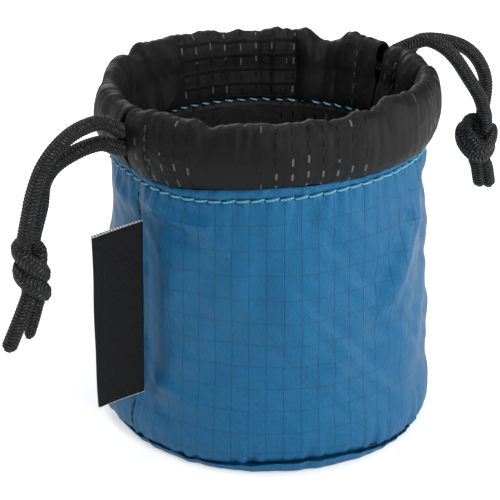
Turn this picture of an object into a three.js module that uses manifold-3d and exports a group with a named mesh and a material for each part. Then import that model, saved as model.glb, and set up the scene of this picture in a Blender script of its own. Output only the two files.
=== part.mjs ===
// Padded lens pouch with a cord-closed collar, in millimetres, +Z up.
// The origin is the middle of the base's underside. X runs through the two cord exits,
// with the side seam and its label on the -X side. -Y is the front half of the mouth.
import * as THREE from "three";
import Module from "manifold-3d";
import { mergeVertices } from "three/addons/utils/BufferGeometryUtils.js";

// Cloth and padding thicknesses, outside to inside.
const shellCloth = 0.6;
const foam = 2.6;
const liningCloth = 0.5;
const gap = 0.3;

// Outer wall: height and radius of each station, from the base seam to the hem.
const wallFootHeight = 3.2;
const wallFootRadius = 42.4;
const flareHeight = 10;
const flareRadius = 42.7;
const lowerHeight = 25;
const lowerRadius = 41.7;
const waistHeight = 45;
const waistRadius = 40.9;
const shoulderHeight = 60;
const shoulderRadius = 40.3;
const wallTopHeight = 69.9;
const wallTopRadius = 39.5;
const rimRadius = 39.4;
const seamPinch = 0.5;
const seamPinchAngle = 0.16;

// Folded hem strip and its stitch row.
const hemFootHeight = 70.2;
const hemTopHeight = 72.8;
const hemStitchHeight = 69.2;
const thread = 0.5;

// Lining and padding.
const paddingFootHeight = 4.2;
const paddingTopHeight = 71.6;
const liningFootHeight = 4.8;
const liningTopHeight = 72.6;
const liningStitchHeight = 71.4;

// Base panel, a shallow dish that meets the wall at the base seam.
const baseFlatRadius = 38.6;
const baseBendRadius = 41.3;
const baseBendHeight = 0.7;
const baseEdgeRadius = 42.2;
const baseEdgeHeight = 2.4;
const basePaddingRadius = 38.2;
const basePaddingTop = 3.6;
const baseLiningRadius = 37.6;
const baseLiningTop = 4.4;
const baseThreadOut = 0.4;
const baseThreadRise = 0.2;

// Collar, a hollow channel for the two cords.
const collarRadius = 39.7;
const collarMiddle = 81.6;
const collarHalfWidth = 3.7;
const collarHalfHeight = 8.4;
const collarFootShare = 0.42;
const collarRoundShare = 0.8;
const gatherRise = 0.6;
const gatherBulge = 0.35;
const gatherSwing = [
  [5, 0.5],
  [9, 1.7],
  [14, 0.2],
];
const exitHalfGap = 2.5;
const lipHalfWidth = 21;
const endStitchAngle = 0.2;
const endStitchFoot = 75.4;
const endStitchTop = 87.6;

// Woven label, a folded strip that stands out from the side seam.
const labelFoot = 13;
const labelTop = 59.5;
const labelFootInner = 42.9;
const labelTopInner = 40.9;
const labelOuter = 52.7;
const labelLayer = 0.35;
const labelSlit = 0.35;
const labelFoldRound = 0.9;
const labelSpare = 2;

// Side seam stitches above and below the label.
const upperStitchFoot = 61;
const upperStitchTop = 67.6;
const lowerStitchFoot = 4.4;
const lowerStitchTop = 11.6;

// Cords.
const cord = 3.6;
const leftLoopHeight = 80.2;
const rightLoopHeight = 85.5;
const knotCore = 3.4;
const knotCoreHalf = 6;
const knotWrapRadius = 2.9;
const knotWrapTube = 2;
const knotWrapPitch = 4.1;
const knotWrapTilt = 0.42;
const leftKnotAt = [-69.1, 0, 54.6];
const rightKnotAt = [63, -12.1, 63.4];
const rightKnotTilt = 0.16;

// Facets.
const ringSteps = 48;
const collarSteps = 60;
const collarPoints = 12;
const cordSides = 8;
const threadSides = 6;
const wrapSteps = 10;
const loopSteps = 30;
const loopPointDegrees = 20;
const freeSteps = 10;
const endSteps = 3;

// Centre lines of the cords, held parts first. Each list is in the order of the cord.
const leftLowerExit = [
  [-46.3, 0, 80.5],
  [-44.3, 0, 79.5],
  [-42.7, 0, 79.1],
  [-40.5, -0.7, 79.1],
  [-39.4, -3, 79.2],
  [-38.9, -8, 79.8],
];
const leftUpperExit = [
  [-46.3, 0, 85.4],
  [-44.3, 0, 84.1],
  [-42.7, 0, 83.3],
  [-40.5, 0.7, 82.9],
  [-39.4, 3, 82.5],
  [-38.9, 8, 81.2],
];
const leftLoopEnd = [
  [38.8, 8, 79.5],
  [39.5, 3, 79.2],
  [39.6, 0.3, 79.2],
];
const rightFrontExit = [
  [45.4, -1.8, 91.2],
  [44, -0.6, 89.7],
  [42.7, 0.2, 88.2],
  [40.6, -0.3, 87.1],
  [39.4, -2.8, 86.1],
  [38.7, -8, 85.6],
];
const rightRearExit = [
  [46.4, 0, 85.8],
  [44.4, 0, 84.3],
  [42.7, 0, 83.7],
  [40.5, 0.7, 83.4],
  [39.5, 3, 83.4],
  [38.8, 8, 84.8],
];
const rightLoopEnd = [
  [-38.7, 8, 85.7],
  [-39.3, 3, 86.4],
  [-39.4, 0.3, 86.6],
];
const leftUpperStrand = [
  [-47, 0, 85.8],
  [-49.6, 0, 86.7],
  [-55.6, 0, 85.8],
  [-61.4, 0, 83.2],
  [-65.8, 0, 79.2],
  [-68.6, 0, 74],
  [-70.2, 0, 69.1],
  [-71, 0, 61.1],
];
const leftLowerStrand = [
  [-47, 0, 80.85],
  [-49.4, 0, 81.6],
  [-55, 0, 80.9],
  [-59.9, 0, 78.3],
  [-63.2, 0, 74.5],
  [-65, 0, 69],
  [-67, 0, 62.5],
];
const rightFrontStrand = [
  [46, -2.3, 91.8],
  [47.4, -3.6, 92.7],
  [49.4, -5.5, 92.9],
  [52.4, -8.1, 91.4],
  [56.2, -10.6, 87],
  [59, -12.4, 81.5],
  [61, -13.9, 76],
  [61.6, -13.6, 69.6],
];
const rightRearStrand = [
  [46.95, 0, 86.3],
  [49.8, -0.6, 89.8],
  [53.5, -4, 91.8],
  [59.5, -7.6, 89.2],
  [63.4, -9.9, 84.7],
  [65, -11, 78.5],
  [65.1, -11.7, 70.4],
];
const leftEndLong = [
  [-70.4, -0.4, 48.5],
  [-73.4, -0.9, 41.5],
  [-76, -1, 36.6],
];
const leftEndShort = [
  [-66.8, 0.5, 46.9],
  [-69.2, 0.7, 41.5],
  [-71.7, 0.7, 37.2],
];
const rightEndFront = [
  [61.2, -12.2, 55.9],
  [62.3, -12.6, 51.5],
  [63.1, -12.9, 48.7],
];
const rightEndRear = [
  [65.3, -12.3, 55.6],
  [66.4, -12.7, 51.5],
  [67.2, -13, 48.5],
];

const wasm = await Module();
wasm.setup();
const { Manifold, Mesh } = wasm;

const shellBlue = { color: 0x2f6f9f, roughness: 0.42, metalness: 0 };
const hemBlue = { color: 0x366f9b, roughness: 0.5, metalness: 0 };
const threadBlue = { color: 0x8cc4dd, roughness: 0.5, metalness: 0 };
const threadBlack = { color: 0x111214, roughness: 0.7, metalness: 0 };
const foamGrey = { color: 0x8d8f92, roughness: 0.95, metalness: 0 };
const liningBlack = { color: 0x242527, roughness: 0.75, metalness: 0 };
const collarBlack = { color: 0x29292b, roughness: 0.65, metalness: 0 };
const labelBlack = { color: 0x1d1d1f, roughness: 0.55, metalness: 0 };
const cordBlack = { color: 0x232325, roughness: 0.8, metalness: 0 };

const group = new THREE.Group();

function add(name, geometry, look) {
  const mesh = new THREE.Mesh(geometry, new THREE.MeshStandardMaterial(look));
  mesh.name = name;
  group.add(mesh);
}

function indexed(points, faces) {
  const geometry = new THREE.BufferGeometry();
  geometry.setAttribute("position", new THREE.Float32BufferAttribute(points, 3));
  geometry.setIndex(faces);
  return geometry;
}

function toSolid(geometry) {
  const bare = geometry.clone();
  bare.deleteAttribute("normal");
  bare.deleteAttribute("uv");
  const merged = mergeVertices(bare);
  const triVerts = new Uint32Array(merged.index.array);
  const vertProperties = merged.attributes.position.array;
  return new Manifold(new Mesh({ numProp: 3, vertProperties, triVerts }));
}

function fromSolid(solid) {
  const mesh = solid.getMesh();
  return indexed(Array.from(mesh.vertProperties), Array.from(mesh.triVerts));
}

// A closed ring. Its section is a loop of [radius, height] pairs, counter-clockwise.
function ring(section, steps) {
  const points = [];
  const faces = [];
  const count = section(0).length;
  for (let i = 0; i < steps; i++) {
    const angle = (2 * Math.PI * i) / steps;
    for (const [radius, height] of section(angle)) {
      points.push(radius * Math.cos(angle), radius * Math.sin(angle), height);
    }
    const here = i * count;
    const next = ((i + 1) % steps) * count;
    for (let j = 0; j < count; j++) {
      const k = (j + 1) % count;
      faces.push(here + j, next + j, next + k, here + j, next + k, here + k);
    }
  }
  return indexed(points, faces);
}

// A disc whose section runs from the axis at its underside round to the axis on top.
function disc(underside, section, top) {
  const points = [0, 0, underside, 0, 0, top];
  const faces = [];
  const count = section.length;
  for (let i = 0; i < ringSteps; i++) {
    const angle = (2 * Math.PI * i) / ringSteps;
    for (const [radius, height] of section) {
      points.push(radius * Math.cos(angle), radius * Math.sin(angle), height);
    }
    const here = 2 + i * count;
    const next = 2 + ((i + 1) % ringSteps) * count;
    faces.push(0, next, here);
    faces.push(1, here + count - 1, next + count - 1);
    for (let j = 0; j < count - 1; j++) {
      faces.push(here + j, next + j, next + j + 1, here + j, next + j + 1, here + j + 1);
    }
  }
  return indexed(points, faces);
}

function tube(points, diameter, sides, steps) {
  const curve = new THREE.CatmullRomCurve3(points.map((p) => new THREE.Vector3(...p)));
  const shape = new THREE.Shape();
  for (let i = 0; i <= sides; i++) {
    const angle = (2 * Math.PI * i) / sides;
    const x = (diameter / 2) * Math.cos(angle);
    const y = (diameter / 2) * Math.sin(angle);
    if (i === 0) {
      shape.moveTo(x, y);
    } else {
      shape.lineTo(x, y);
    }
  }
  return new THREE.ExtrudeGeometry(shape, {
    steps,
    bevelEnabled: false,
    extrudePath: curve,
    curveSegments: 1,
  });
}

// Walls.
const stations = [
  [wallFootHeight, wallFootRadius],
  [flareHeight, flareRadius],
  [lowerHeight, lowerRadius],
  [waistHeight, waistRadius],
  [shoulderHeight, shoulderRadius],
  [wallTopHeight, wallTopRadius],
  [hemTopHeight, rimRadius],
];

function pinch(angle) {
  const away = (angle - Math.PI) / seamPinchAngle;
  return seamPinch * Math.exp(-away * away);
}

function wallRadius(height, angle) {
  let i = 0;
  while (i < stations.length - 2 && height > stations[i + 1][0]) i++;
  const [lowHeight, lowRadius] = stations[i];
  const [highHeight, highRadius] = stations[i + 1];
  const share = (height - lowHeight) / (highHeight - lowHeight);
  return lowRadius + share * (highRadius - lowRadius) - pinch(angle);
}

// A layer of the wall, a given depth in from the outside, between two heights.
function layer(depth, thickness, foot, top) {
  const between = stations.map((s) => s[0]).filter((h) => h > foot && h < top);
  const heights = [foot, ...between, top];
  return ring((angle) => {
    const outer = heights.map((h) => [wallRadius(h, angle) - depth, h]);
    const inner = heights.map((h) => [wallRadius(h, angle) - depth - thickness, h]);
    return [...outer, ...inner.reverse()];
  }, ringSteps);
}

// A ring of thread with a square section, its middle a given distance out from the wall.
function threadRing(height, out) {
  return ring((angle) => {
    const radius = wallRadius(height, angle) + out;
    return [
      [radius, height - thread / 2],
      [radius + thread / 2, height],
      [radius, height + thread / 2],
      [radius - thread / 2, height],
    ];
  }, ringSteps);
}

const foamDepth = shellCloth + gap;
const liningDepth = foamDepth + foam + gap;
const insideDepth = liningDepth + liningCloth;
add("outer_wall", layer(0, shellCloth, wallFootHeight, wallTopHeight), shellBlue);
add("wall_padding", layer(foamDepth, foam, paddingFootHeight, paddingTopHeight), foamGrey);
add("wall_lining", layer(liningDepth, liningCloth, liningFootHeight, liningTopHeight), liningBlack);
const hemSection = (angle) => {
  const low = wallRadius(hemFootHeight, angle);
  const high = wallRadius(hemTopHeight, angle);
  const fold = shellCloth / 2;
  return [
    [low, hemFootHeight],
    [low + fold, hemFootHeight + fold],
    [high + fold, hemTopHeight - fold],
    [high, hemTopHeight],
    [high - shellCloth / 2, hemTopHeight],
    [low - shellCloth / 2, hemFootHeight],
  ];
};
add("mouth_hem", ring(hemSection, ringSteps), hemBlue);
add("hem_topstitch", threadRing(hemStitchHeight, gap + thread / 2), threadBlue);
const liningStitchOut = -(insideDepth + gap + thread / 2);
add("lining_topstitch", threadRing(liningStitchHeight, liningStitchOut), threadBlue);

// Base.
const baseSection = [
  [baseFlatRadius, 0],
  [baseBendRadius, baseBendHeight],
  [baseEdgeRadius, baseEdgeHeight],
  [baseEdgeRadius - shellCloth, baseEdgeHeight],
  [baseBendRadius - shellCloth, baseBendHeight + shellCloth / 2],
  [baseFlatRadius, shellCloth],
];
add("base_panel", disc(0, baseSection, shellCloth), shellBlue);
const padFoot = shellCloth + gap;
const padSection = [
  [basePaddingRadius, padFoot],
  [basePaddingRadius, basePaddingTop],
];
add("base_padding", disc(padFoot, padSection, basePaddingTop), foamGrey);
const liningFoot = basePaddingTop + gap;
const liningSection = [
  [baseLiningRadius, liningFoot],
  [baseLiningRadius, baseLiningTop],
];
add("base_lining", disc(liningFoot, liningSection, baseLiningTop), liningBlack);
const baseThreadRadius = baseEdgeRadius + baseThreadOut;
const baseThreadHeight = baseEdgeHeight + baseThreadRise;
const seamSection = () => [
  [baseThreadRadius, baseThreadHeight - thread / 2],
  [baseThreadRadius + thread, baseThreadHeight],
  [baseThreadRadius + thread / 2, baseThreadHeight + thread / 2],
  [baseThreadRadius - thread / 2, baseThreadHeight + thread / 2],
];
add("base_seam_thread", ring(seamSection, ringSteps), threadBlack);

// Collar. Its section is a tall loop that narrows to the foot.
function gather(angle) {
  let sum = 0;
  for (const [waves, phase] of gatherSwing) sum += Math.sin(waves * angle + phase);
  return sum / gatherSwing.length;
}

function collarSection(angle, inset) {
  const rise = gatherRise * gather(angle);
  const bulge = gatherBulge * gather(angle + Math.PI);
  const points = [];
  for (let i = 0; i < collarPoints; i++) {
    const turn = (2 * Math.PI * i) / collarPoints;
    const across = Math.sign(Math.cos(turn)) * Math.abs(Math.cos(turn)) ** collarRoundShare;
    const upward = Math.sin(turn);
    const low = Math.max(0, -upward);
    const width = collarHalfWidth * (1 - collarFootShare * low * low) - inset;
    const lift = upward > 0 ? rise * upward : 0;
    const out = across > 0 ? bulge * across : 0;
    const height = collarMiddle + (collarHalfHeight - inset) * upward + lift;
    points.push([collarRadius + width * across + out, height]);
  }
  return points;
}

const collarOuter = toSolid(ring((angle) => collarSection(angle, 0), collarSteps));
const collarInner = toSolid(ring((angle) => collarSection(angle, shellCloth), collarSteps));
const collarRing = collarOuter.subtract(collarInner);
const reach = 2 * collarRadius;

// The part of the collar between two planes across X, on the front or the back side.
function collarPart(fromX, toX, side) {
  const size = [toX - fromX, reach, reach];
  const centre = [(fromX + toX) / 2, side * (exitHalfGap + reach / 2), collarMiddle];
  return fromSolid(collarRing.intersect(Manifold.cube(size, true).translate(centre)));
}

const endStart = lipHalfWidth + gap;
for (const [place, side] of [
  ["front", -1],
  ["back", 1],
]) {
  add(place + "_collar_middle", collarPart(-lipHalfWidth, lipHalfWidth, side), collarBlack);
  add(place + "_collar_left", collarPart(-reach, -endStart, side), collarBlack);
  add(place + "_collar_right", collarPart(endStart, reach, side), collarBlack);
}

// Stitches that close the folded ends of the collar halves, one line by each exit edge.
function endStitch(angle) {
  const heights = [endStitchFoot, (endStitchFoot + endStitchTop) / 2, endStitchTop];
  const points = heights.map((height) => {
    const up = (height - collarMiddle) / collarHalfHeight;
    const low = Math.max(0, -up);
    const width = collarHalfWidth * (1 - collarFootShare * low * low);
    const across = Math.sqrt(1 - up * up) ** collarRoundShare;
    const radius = collarRadius + width * across + gatherBulge + gap + thread / 2;
    return [radius * Math.cos(angle), radius * Math.sin(angle), height];
  });
  return tube(points, thread, threadSides, threadSides);
}

for (const [name, angle] of [
  ["front_left", Math.PI + endStitchAngle],
  ["front_right", -endStitchAngle],
  ["back_left", Math.PI - endStitchAngle],
  ["back_right", endStitchAngle],
]) {
  add("end_stitch_" + name, endStitch(angle), threadBlack);
}

// Side seam stitches.
function seamStitch(foot, top) {
  const heights = [foot, (foot + top) / 2, top];
  const out = 2 * gap + thread / 2;
  const points = heights.map((h) => [-wallRadius(h, Math.PI) - out, 0, h]);
  return tube(points, thread, threadSides, 2);
}

add("side_seam_thread_upper", seamStitch(upperStitchFoot, upperStitchTop), threadBlack);
add("side_seam_thread_lower", seamStitch(lowerStitchFoot, lowerStitchTop), threadBlack);

// Label. Two layers joined by the fold at the outer edge, cut along the wall on the inside.
const labelShape = new THREE.Shape();
const labelHalf = labelLayer + labelSlit / 2;
const slit = labelSlit / 2;
labelShape.moveTo(labelTopInner, -labelHalf);
labelShape.lineTo(labelOuter - labelFoldRound, -labelHalf);
labelShape.lineTo(labelOuter, 0);
labelShape.lineTo(labelOuter - labelFoldRound, labelHalf);
labelShape.lineTo(labelTopInner, labelHalf);
labelShape.lineTo(labelTopInner, slit);
labelShape.lineTo(labelOuter - 2 * labelFoldRound, slit);
labelShape.lineTo(labelOuter - 2 * labelFoldRound, -slit);
labelShape.lineTo(labelTopInner, -slit);
const labelTall = labelTop - labelFoot;
const labelBlock = new THREE.ExtrudeGeometry(labelShape, {
  depth: labelTall,
  bevelEnabled: false,
});
const labelSpot = new THREE.Matrix4().makeTranslation(0, 0, labelFoot);
labelBlock.applyMatrix4(new THREE.Matrix4().makeRotationZ(Math.PI).premultiply(labelSpot));
const labelCutShape = new THREE.Shape();
labelCutShape.moveTo(0, labelFoot - labelSpare);
labelCutShape.lineTo(labelFootInner, labelFoot - labelSpare);
labelCutShape.lineTo(labelFootInner, labelFoot);
labelCutShape.lineTo(labelTopInner, labelTop);
labelCutShape.lineTo(0, labelTop);
const labelCut = new THREE.ExtrudeGeometry(labelCutShape, {
  depth: 2 * labelSpare,
  bevelEnabled: false,
});
const upright = new THREE.Matrix4().makeRotationX(Math.PI / 2);
const mirrored = new THREE.Matrix4().makeRotationZ(Math.PI);
const centred = new THREE.Matrix4().makeTranslation(0, -labelSpare, 0);
labelCut.applyMatrix4(centred.multiply(mirrored).multiply(upright));
add("woven_label", fromSolid(toSolid(labelBlock).subtract(toSolid(labelCut))), labelBlack);

// Cords inside the channel. Each loop is made in a front and a back half.
function heldCord(exit, height, side, from, tail) {
  const middle = [];
  for (let degrees = loopPointDegrees; degrees < 180; degrees += loopPointDegrees) {
    const angle = THREE.MathUtils.degToRad(degrees);
    const x = from * collarRadius * Math.cos(angle);
    middle.push([x, side * collarRadius * Math.sin(angle), height]);
  }
  const end = tail.map(([x, y, z]) => [x, side * y, z]);
  return tube([...exit, ...middle, ...end], cord, cordSides, loopSteps);
}

add("left_loop_front", heldCord(leftLowerExit, leftLoopHeight, -1, -1, leftLoopEnd), cordBlack);
add("left_loop_back", heldCord(leftUpperExit, leftLoopHeight, 1, -1, leftLoopEnd), cordBlack);
add("right_loop_front", heldCord(rightFrontExit, rightLoopHeight, -1, 1, rightLoopEnd), cordBlack);
add("right_loop_back", heldCord(rightRearExit, rightLoopHeight, 1, 1, rightLoopEnd), cordBlack);

// Free strands and cut ends.
add("left_strand_upper", tube(leftUpperStrand, cord, cordSides, freeSteps), cordBlack);
add("left_strand_lower", tube(leftLowerStrand, cord, cordSides, freeSteps), cordBlack);
add("right_strand_front", tube(rightFrontStrand, cord, cordSides, freeSteps), cordBlack);
add("right_strand_rear", tube(rightRearStrand, cord, cordSides, freeSteps), cordBlack);
add("left_end_long", tube(leftEndLong, cord, cordSides, endSteps), cordBlack);
add("left_end_short", tube(leftEndShort, cord, cordSides, endSteps), cordBlack);
add("right_end_front", tube(rightEndFront, cord, cordSides, endSteps), cordBlack);
add("right_end_rear", tube(rightEndRear, cord, cordSides, endSteps), cordBlack);

// A knot is three slanting wraps round a solid core.
function knot(at, lean) {
  const core = new THREE.SphereGeometry(1, wrapSteps, threadSides);
  core.rotateX(Math.PI / 2);
  core.scale(knotCore, knotCore, knotCoreHalf);
  let whole = toSolid(core);
  for (const place of [-1, 0, 1]) {
    const wrap = new THREE.TorusGeometry(knotWrapRadius, knotWrapTube, cordSides, wrapSteps);
    wrap.rotateY(place === 1 ? -knotWrapTilt : knotWrapTilt);
    wrap.translate(0, 0, place * knotWrapPitch);
    whole = whole.add(toSolid(wrap));
  }
  const geometry = fromSolid(whole);
  geometry.rotateY(lean);
  geometry.translate(...at);
  return geometry;
}

add("left_knot", knot(leftKnotAt, 0), cordBlack);
add("right_knot", knot(rightKnotAt, rightKnotTilt), cordBlack);

export default group;
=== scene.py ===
import math
from functools import partial

import bpy
import numpy as np
from bpy.props import FloatProperty, FloatVectorProperty, IntProperty, PointerProperty
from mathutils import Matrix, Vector


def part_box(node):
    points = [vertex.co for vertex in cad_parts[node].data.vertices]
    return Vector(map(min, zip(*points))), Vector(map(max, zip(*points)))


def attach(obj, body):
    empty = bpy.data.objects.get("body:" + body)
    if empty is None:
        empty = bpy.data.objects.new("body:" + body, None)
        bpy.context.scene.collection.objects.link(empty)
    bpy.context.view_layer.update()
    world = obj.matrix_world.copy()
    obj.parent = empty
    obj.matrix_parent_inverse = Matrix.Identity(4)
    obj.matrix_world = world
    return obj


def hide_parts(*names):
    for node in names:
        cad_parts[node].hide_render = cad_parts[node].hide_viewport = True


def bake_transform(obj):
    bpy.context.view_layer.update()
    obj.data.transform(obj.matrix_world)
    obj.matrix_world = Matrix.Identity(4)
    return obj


bl_info = {
    "name": "Lens Pouch Looks",
    "version": (1, 0, 0),
    "blender": (4, 5, 0),
    "location": "3D View > Sidebar > Lens Pouch",
    "description": "Dresses a padded lens pouch with cloth, stitches, cords and a label",
    "category": "Add Mesh",
}

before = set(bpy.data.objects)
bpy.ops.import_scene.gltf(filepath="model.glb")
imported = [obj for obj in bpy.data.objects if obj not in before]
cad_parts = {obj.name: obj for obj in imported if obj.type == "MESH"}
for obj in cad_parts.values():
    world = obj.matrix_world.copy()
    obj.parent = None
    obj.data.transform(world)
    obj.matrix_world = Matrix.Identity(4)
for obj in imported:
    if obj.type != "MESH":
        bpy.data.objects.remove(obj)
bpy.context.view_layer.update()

MM = 0.001
TURN = 2 * math.pi
SIDE_SEAM = math.pi
CLOTH_UV = "Cloth"

WALL_FOOT, WALL_TOP = (corner.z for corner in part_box("outer_wall"))
HEM_FOOT, HEM_TOP = (corner.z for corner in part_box("mouth_hem"))
PAD_FOOT, PAD_TOP = (corner.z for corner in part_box("wall_padding"))
LINING_FOOT, LINING_TOP = (corner.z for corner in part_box("wall_lining"))
HEM_STITCH = sum(corner.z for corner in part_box("hem_topstitch")) / 2
LINING_STITCH = sum(corner.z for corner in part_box("lining_topstitch")) / 2
BASE_STITCH = sum(corner.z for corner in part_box("base_seam_thread")) / 2
LABEL_LOW, LABEL_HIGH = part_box("woven_label")

# Limits of the soft layers: the deepest fold of the wall cloth, the thinnest foam behind
# it, and how far beside a fold the layers behind it give way too.
DEEPEST_FOLD = 2.1 * MM
THINNEST_FOAM = 0.15 * MM
BESIDE_FOLD = (-0.012, 0, 0.012)
ABOVE_FOLD = (-0.9 * MM, 0, 0.9 * MM)
STITCH_SIDES, STITCH_RINGS = 8, 9
# A knot's cords are pressed within this height of its middle, which fades out over a step.
KNOT_REACH, KNOT_FADE = 7.5 * MM, 2 * MM
SENSOR_WIDTH = 36
# The side seam's half width and the end seams' distance from the exits, in radians.
SIDE_SEAM_REACH = 0.16
END_SEAM = 0.2
# A thinner cord end thins out over this length, and a route is first drawn this finely.
THIN_END = 9 * MM
FINE_STEPS = 40


def in_metres(*points):
    """Places given in millimetres."""
    return [tuple(value * MM for value in point) for point in points]


# Free cords, exit first. Each route runs through its knot to its cut end.
LEFT_UPPER_EXIT = in_metres(
    (-40.5, 0.7, 82.9), (-42.7, 0, 83.3), (-44.3, 0, 84.1), (-46.3, 0, 85.4),
)
LEFT_LOWER_EXIT = in_metres(
    (-40.5, -0.7, 79.1), (-42.7, 0, 79.1), (-44.3, 0, 79.5), (-46.3, 0, 80.5),
)
RIGHT_FRONT_EXIT = in_metres(
    (40.6, -0.3, 87.1), (42.7, 0.2, 88.2), (44, -0.6, 88.9), (45.4, -1.8, 89.8),
)
RIGHT_REAR_EXIT = in_metres(
    (40.5, 0.7, 83.4), (42.7, 0, 83.7), (44.4, 0, 84.3), (46.4, 0, 85.8),
)
LEFT_UPPER_STRAND = in_metres(
    (-49.6, 0, 86.7), (-55.7, -0.2, 85.8), (-61.1, -0.9, 83.2), (-65.3, -1.3, 79.2),
    (-68.1, -1.6, 74), (-69.6, -1.6, 69.1),
)
LEFT_LOWER_STRAND = in_metres(
    (-49.4, 0, 81.6), (-55, 0.2, 80.9), (-60.4, 1.3, 78.3), (-63.5, 1.8, 74.5), (-64.8, 1.6, 69),
)
RIGHT_FRONT_STRAND = in_metres(
    (47.4, -3.6, 90.8), (49.4, -5.5, 91.3), (52.2, -8.3, 89.6), (55.2, -10.3, 86.2),
    (58.1, -12.2, 81.2), (61, -13.9, 76),
)
RIGHT_REAR_STRAND = in_metres(
    (49.8, -0.6, 89.8), (53.7, -3.8, 90.5), (59.7, -7.3, 88.7), (63.8, -9.7, 84.7),
    (65.9, -11.3, 78.5),
)
LEFT_LONG_END = in_metres(
    (-70.9, -0.5, 47.5), (-74.2, -0.8, 41.5), (-77, -0.7, 36.3),
)
LEFT_SHORT_END = in_metres(
    (-67.4, 1.2, 46.2), (-68.8, 1, 41.5), (-70.7, 0.6, 37.2),
)
RIGHT_FRONT_END = in_metres(
    (63.3, -12.6, 55.2), (64.2, -12.7, 51.5), (64.9, -12.8, 49.1),
)
RIGHT_REAR_END = in_metres(
    (65.6, -13.7, 55.2), (66.4, -14, 51.5), (67, -14.1, 48.8),
)

# Knots. Each point is (to the right, to the front, up) from the knot's middle, where
# the knot's front faces 37 degrees to the left of -Y. Both cords of a side go down
# the core, curl round the right, climb across the front and go back down the core.
LEFT_KNOT_MIDDLE, RIGHT_KNOT_MIDDLE = in_metres((-69.1, 0, 54.6), (63, -12.1, 63.4))
KNOT_TURN = math.radians(-37)
LEFT_UPPER_KNOT = in_metres(
    (-1.2, 1, 6.6), (-1.2, 0, 4), (-0.4, -0.9, 1.4), (0.8, -1.8, -0.8), (2.3, -1.4, -1.4),
    (3.1, 0.5, -0.4), (2.1, 2.3, 1.3), (0.1, 2.9, 3), (-1.8, 2.1, 4.5), (-2.9, 0, 5.3),
    (-2.2, -2.2, 5.5), (-0.2, -2.9, 5.1), (1.9, -2.2, 4.2), (2.4, -0.5, 2.8), (1.4, 0.4, 0.6),
    (0.2, 0.6, -2), (-0.7, 0.8, -4.5),
)
LEFT_LOWER_KNOT = in_metres(
    (0.6, -2.2, 7.4), (0.8, -1.6, 4.6), (0.4, -0.8, 1.7), (0.1, -1.5, -1.5), (0.9, -2.2, -4.2),
    (2.4, -1.5, -5.6), (3, 0.4, -5.2), (2, 2.3, -3.7), (0, 2.9, -2.2), (-2, 2, -0.9),
    (-2.9, 0, -0.1), (-2.3, -2.2, 0.8), (-0.3, -3, 1.7), (1.8, -2.2, 1.8), (2.1, -0.5, 0.3),
    (1.3, 0.2, -2.2), (1.2, -0.6, -5.2),
)
RIGHT_FRONT_KNOT = in_metres(
    (1.2, 1.9, 8.2), (2.2, 1.3, 5.3), (2.2, 0.5, 2.6), (1.2, -0.8, 0.2), (0.8, -2.2, -1),
    (2.8, -2.6, 0.4), (4.2, -0.8, 1.6), (3.8, 1.4, 0), (2.2, 2.8, -1.6), (0.2, 3.2, -1.6),
    (-2, 2.4, 0.2), (-3.2, 0.3, 2.4), (-2.2, -1.8, 3.8), (0.3, -2.6, 3.6), (1.4, -1.2, 1.8),
    (0.4, 0.2, -0.8), (-0.8, 0.9, -4),
)
RIGHT_REAR_KNOT = in_metres(
    (1.4, -1.4, 7.2), (1.1, -1.2, 4.2), (0.3, -0.9, 1), (0.3, -1.6, -2.4), (2.2, -2.4, -3.2),
    (3.8, -0.6, -2.4), (3, 1.7, -3.4), (0.4, 2.8, -4.3), (-2.2, 2.6, -3), (-4.2, 0.9, -0.8),
    (-4.3, -1.4, 1.2), (-2.2, -3.1, 1.8), (0.3, -2.7, 1.2), (1.3, -0.8, -0.8), (1.2, 0.2, -3.2),
    (1.6, -0.8, -5.6),
)

# Rise of the rim over its mean height, in millimetres, by degrees round the mouth.
RIM_RISE = [
    (0, 0.6), (5, 1.0), (14, 1.2), (19, 0.9), (24, -0.7), (28, -1.3), (32, -1.3),
    (37, 0.7), (42, 1.0), (50, 0.8), (58, 0), (63, 0.7), (70, 0.1), (76, 1.0),
    (85, 0.8), (92, 1.1), (100, 0.6), (105, 1.4), (110, 0.5), (114, -0.6),
    (120, -0.2), (129, 1.1), (138, 0.4), (147, -0.8), (156, -0.6), (166, -1.0),
    (176, -1.6), (184, -1.7), (189, -0.9), (196, -0.4), (204, -0.9), (211, -1.8),
    (219, -1.1), (229, -0.3), (236, -0.6), (244, -0.1), (258, -0.2), (265, 0.4),
    (273, 1.4), (284, 2.2), (301, 1.6), (312, 0.9), (323, 1.6), (336, 0.6),
    (348, 1.2), (360, 0.6),
]

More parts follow.
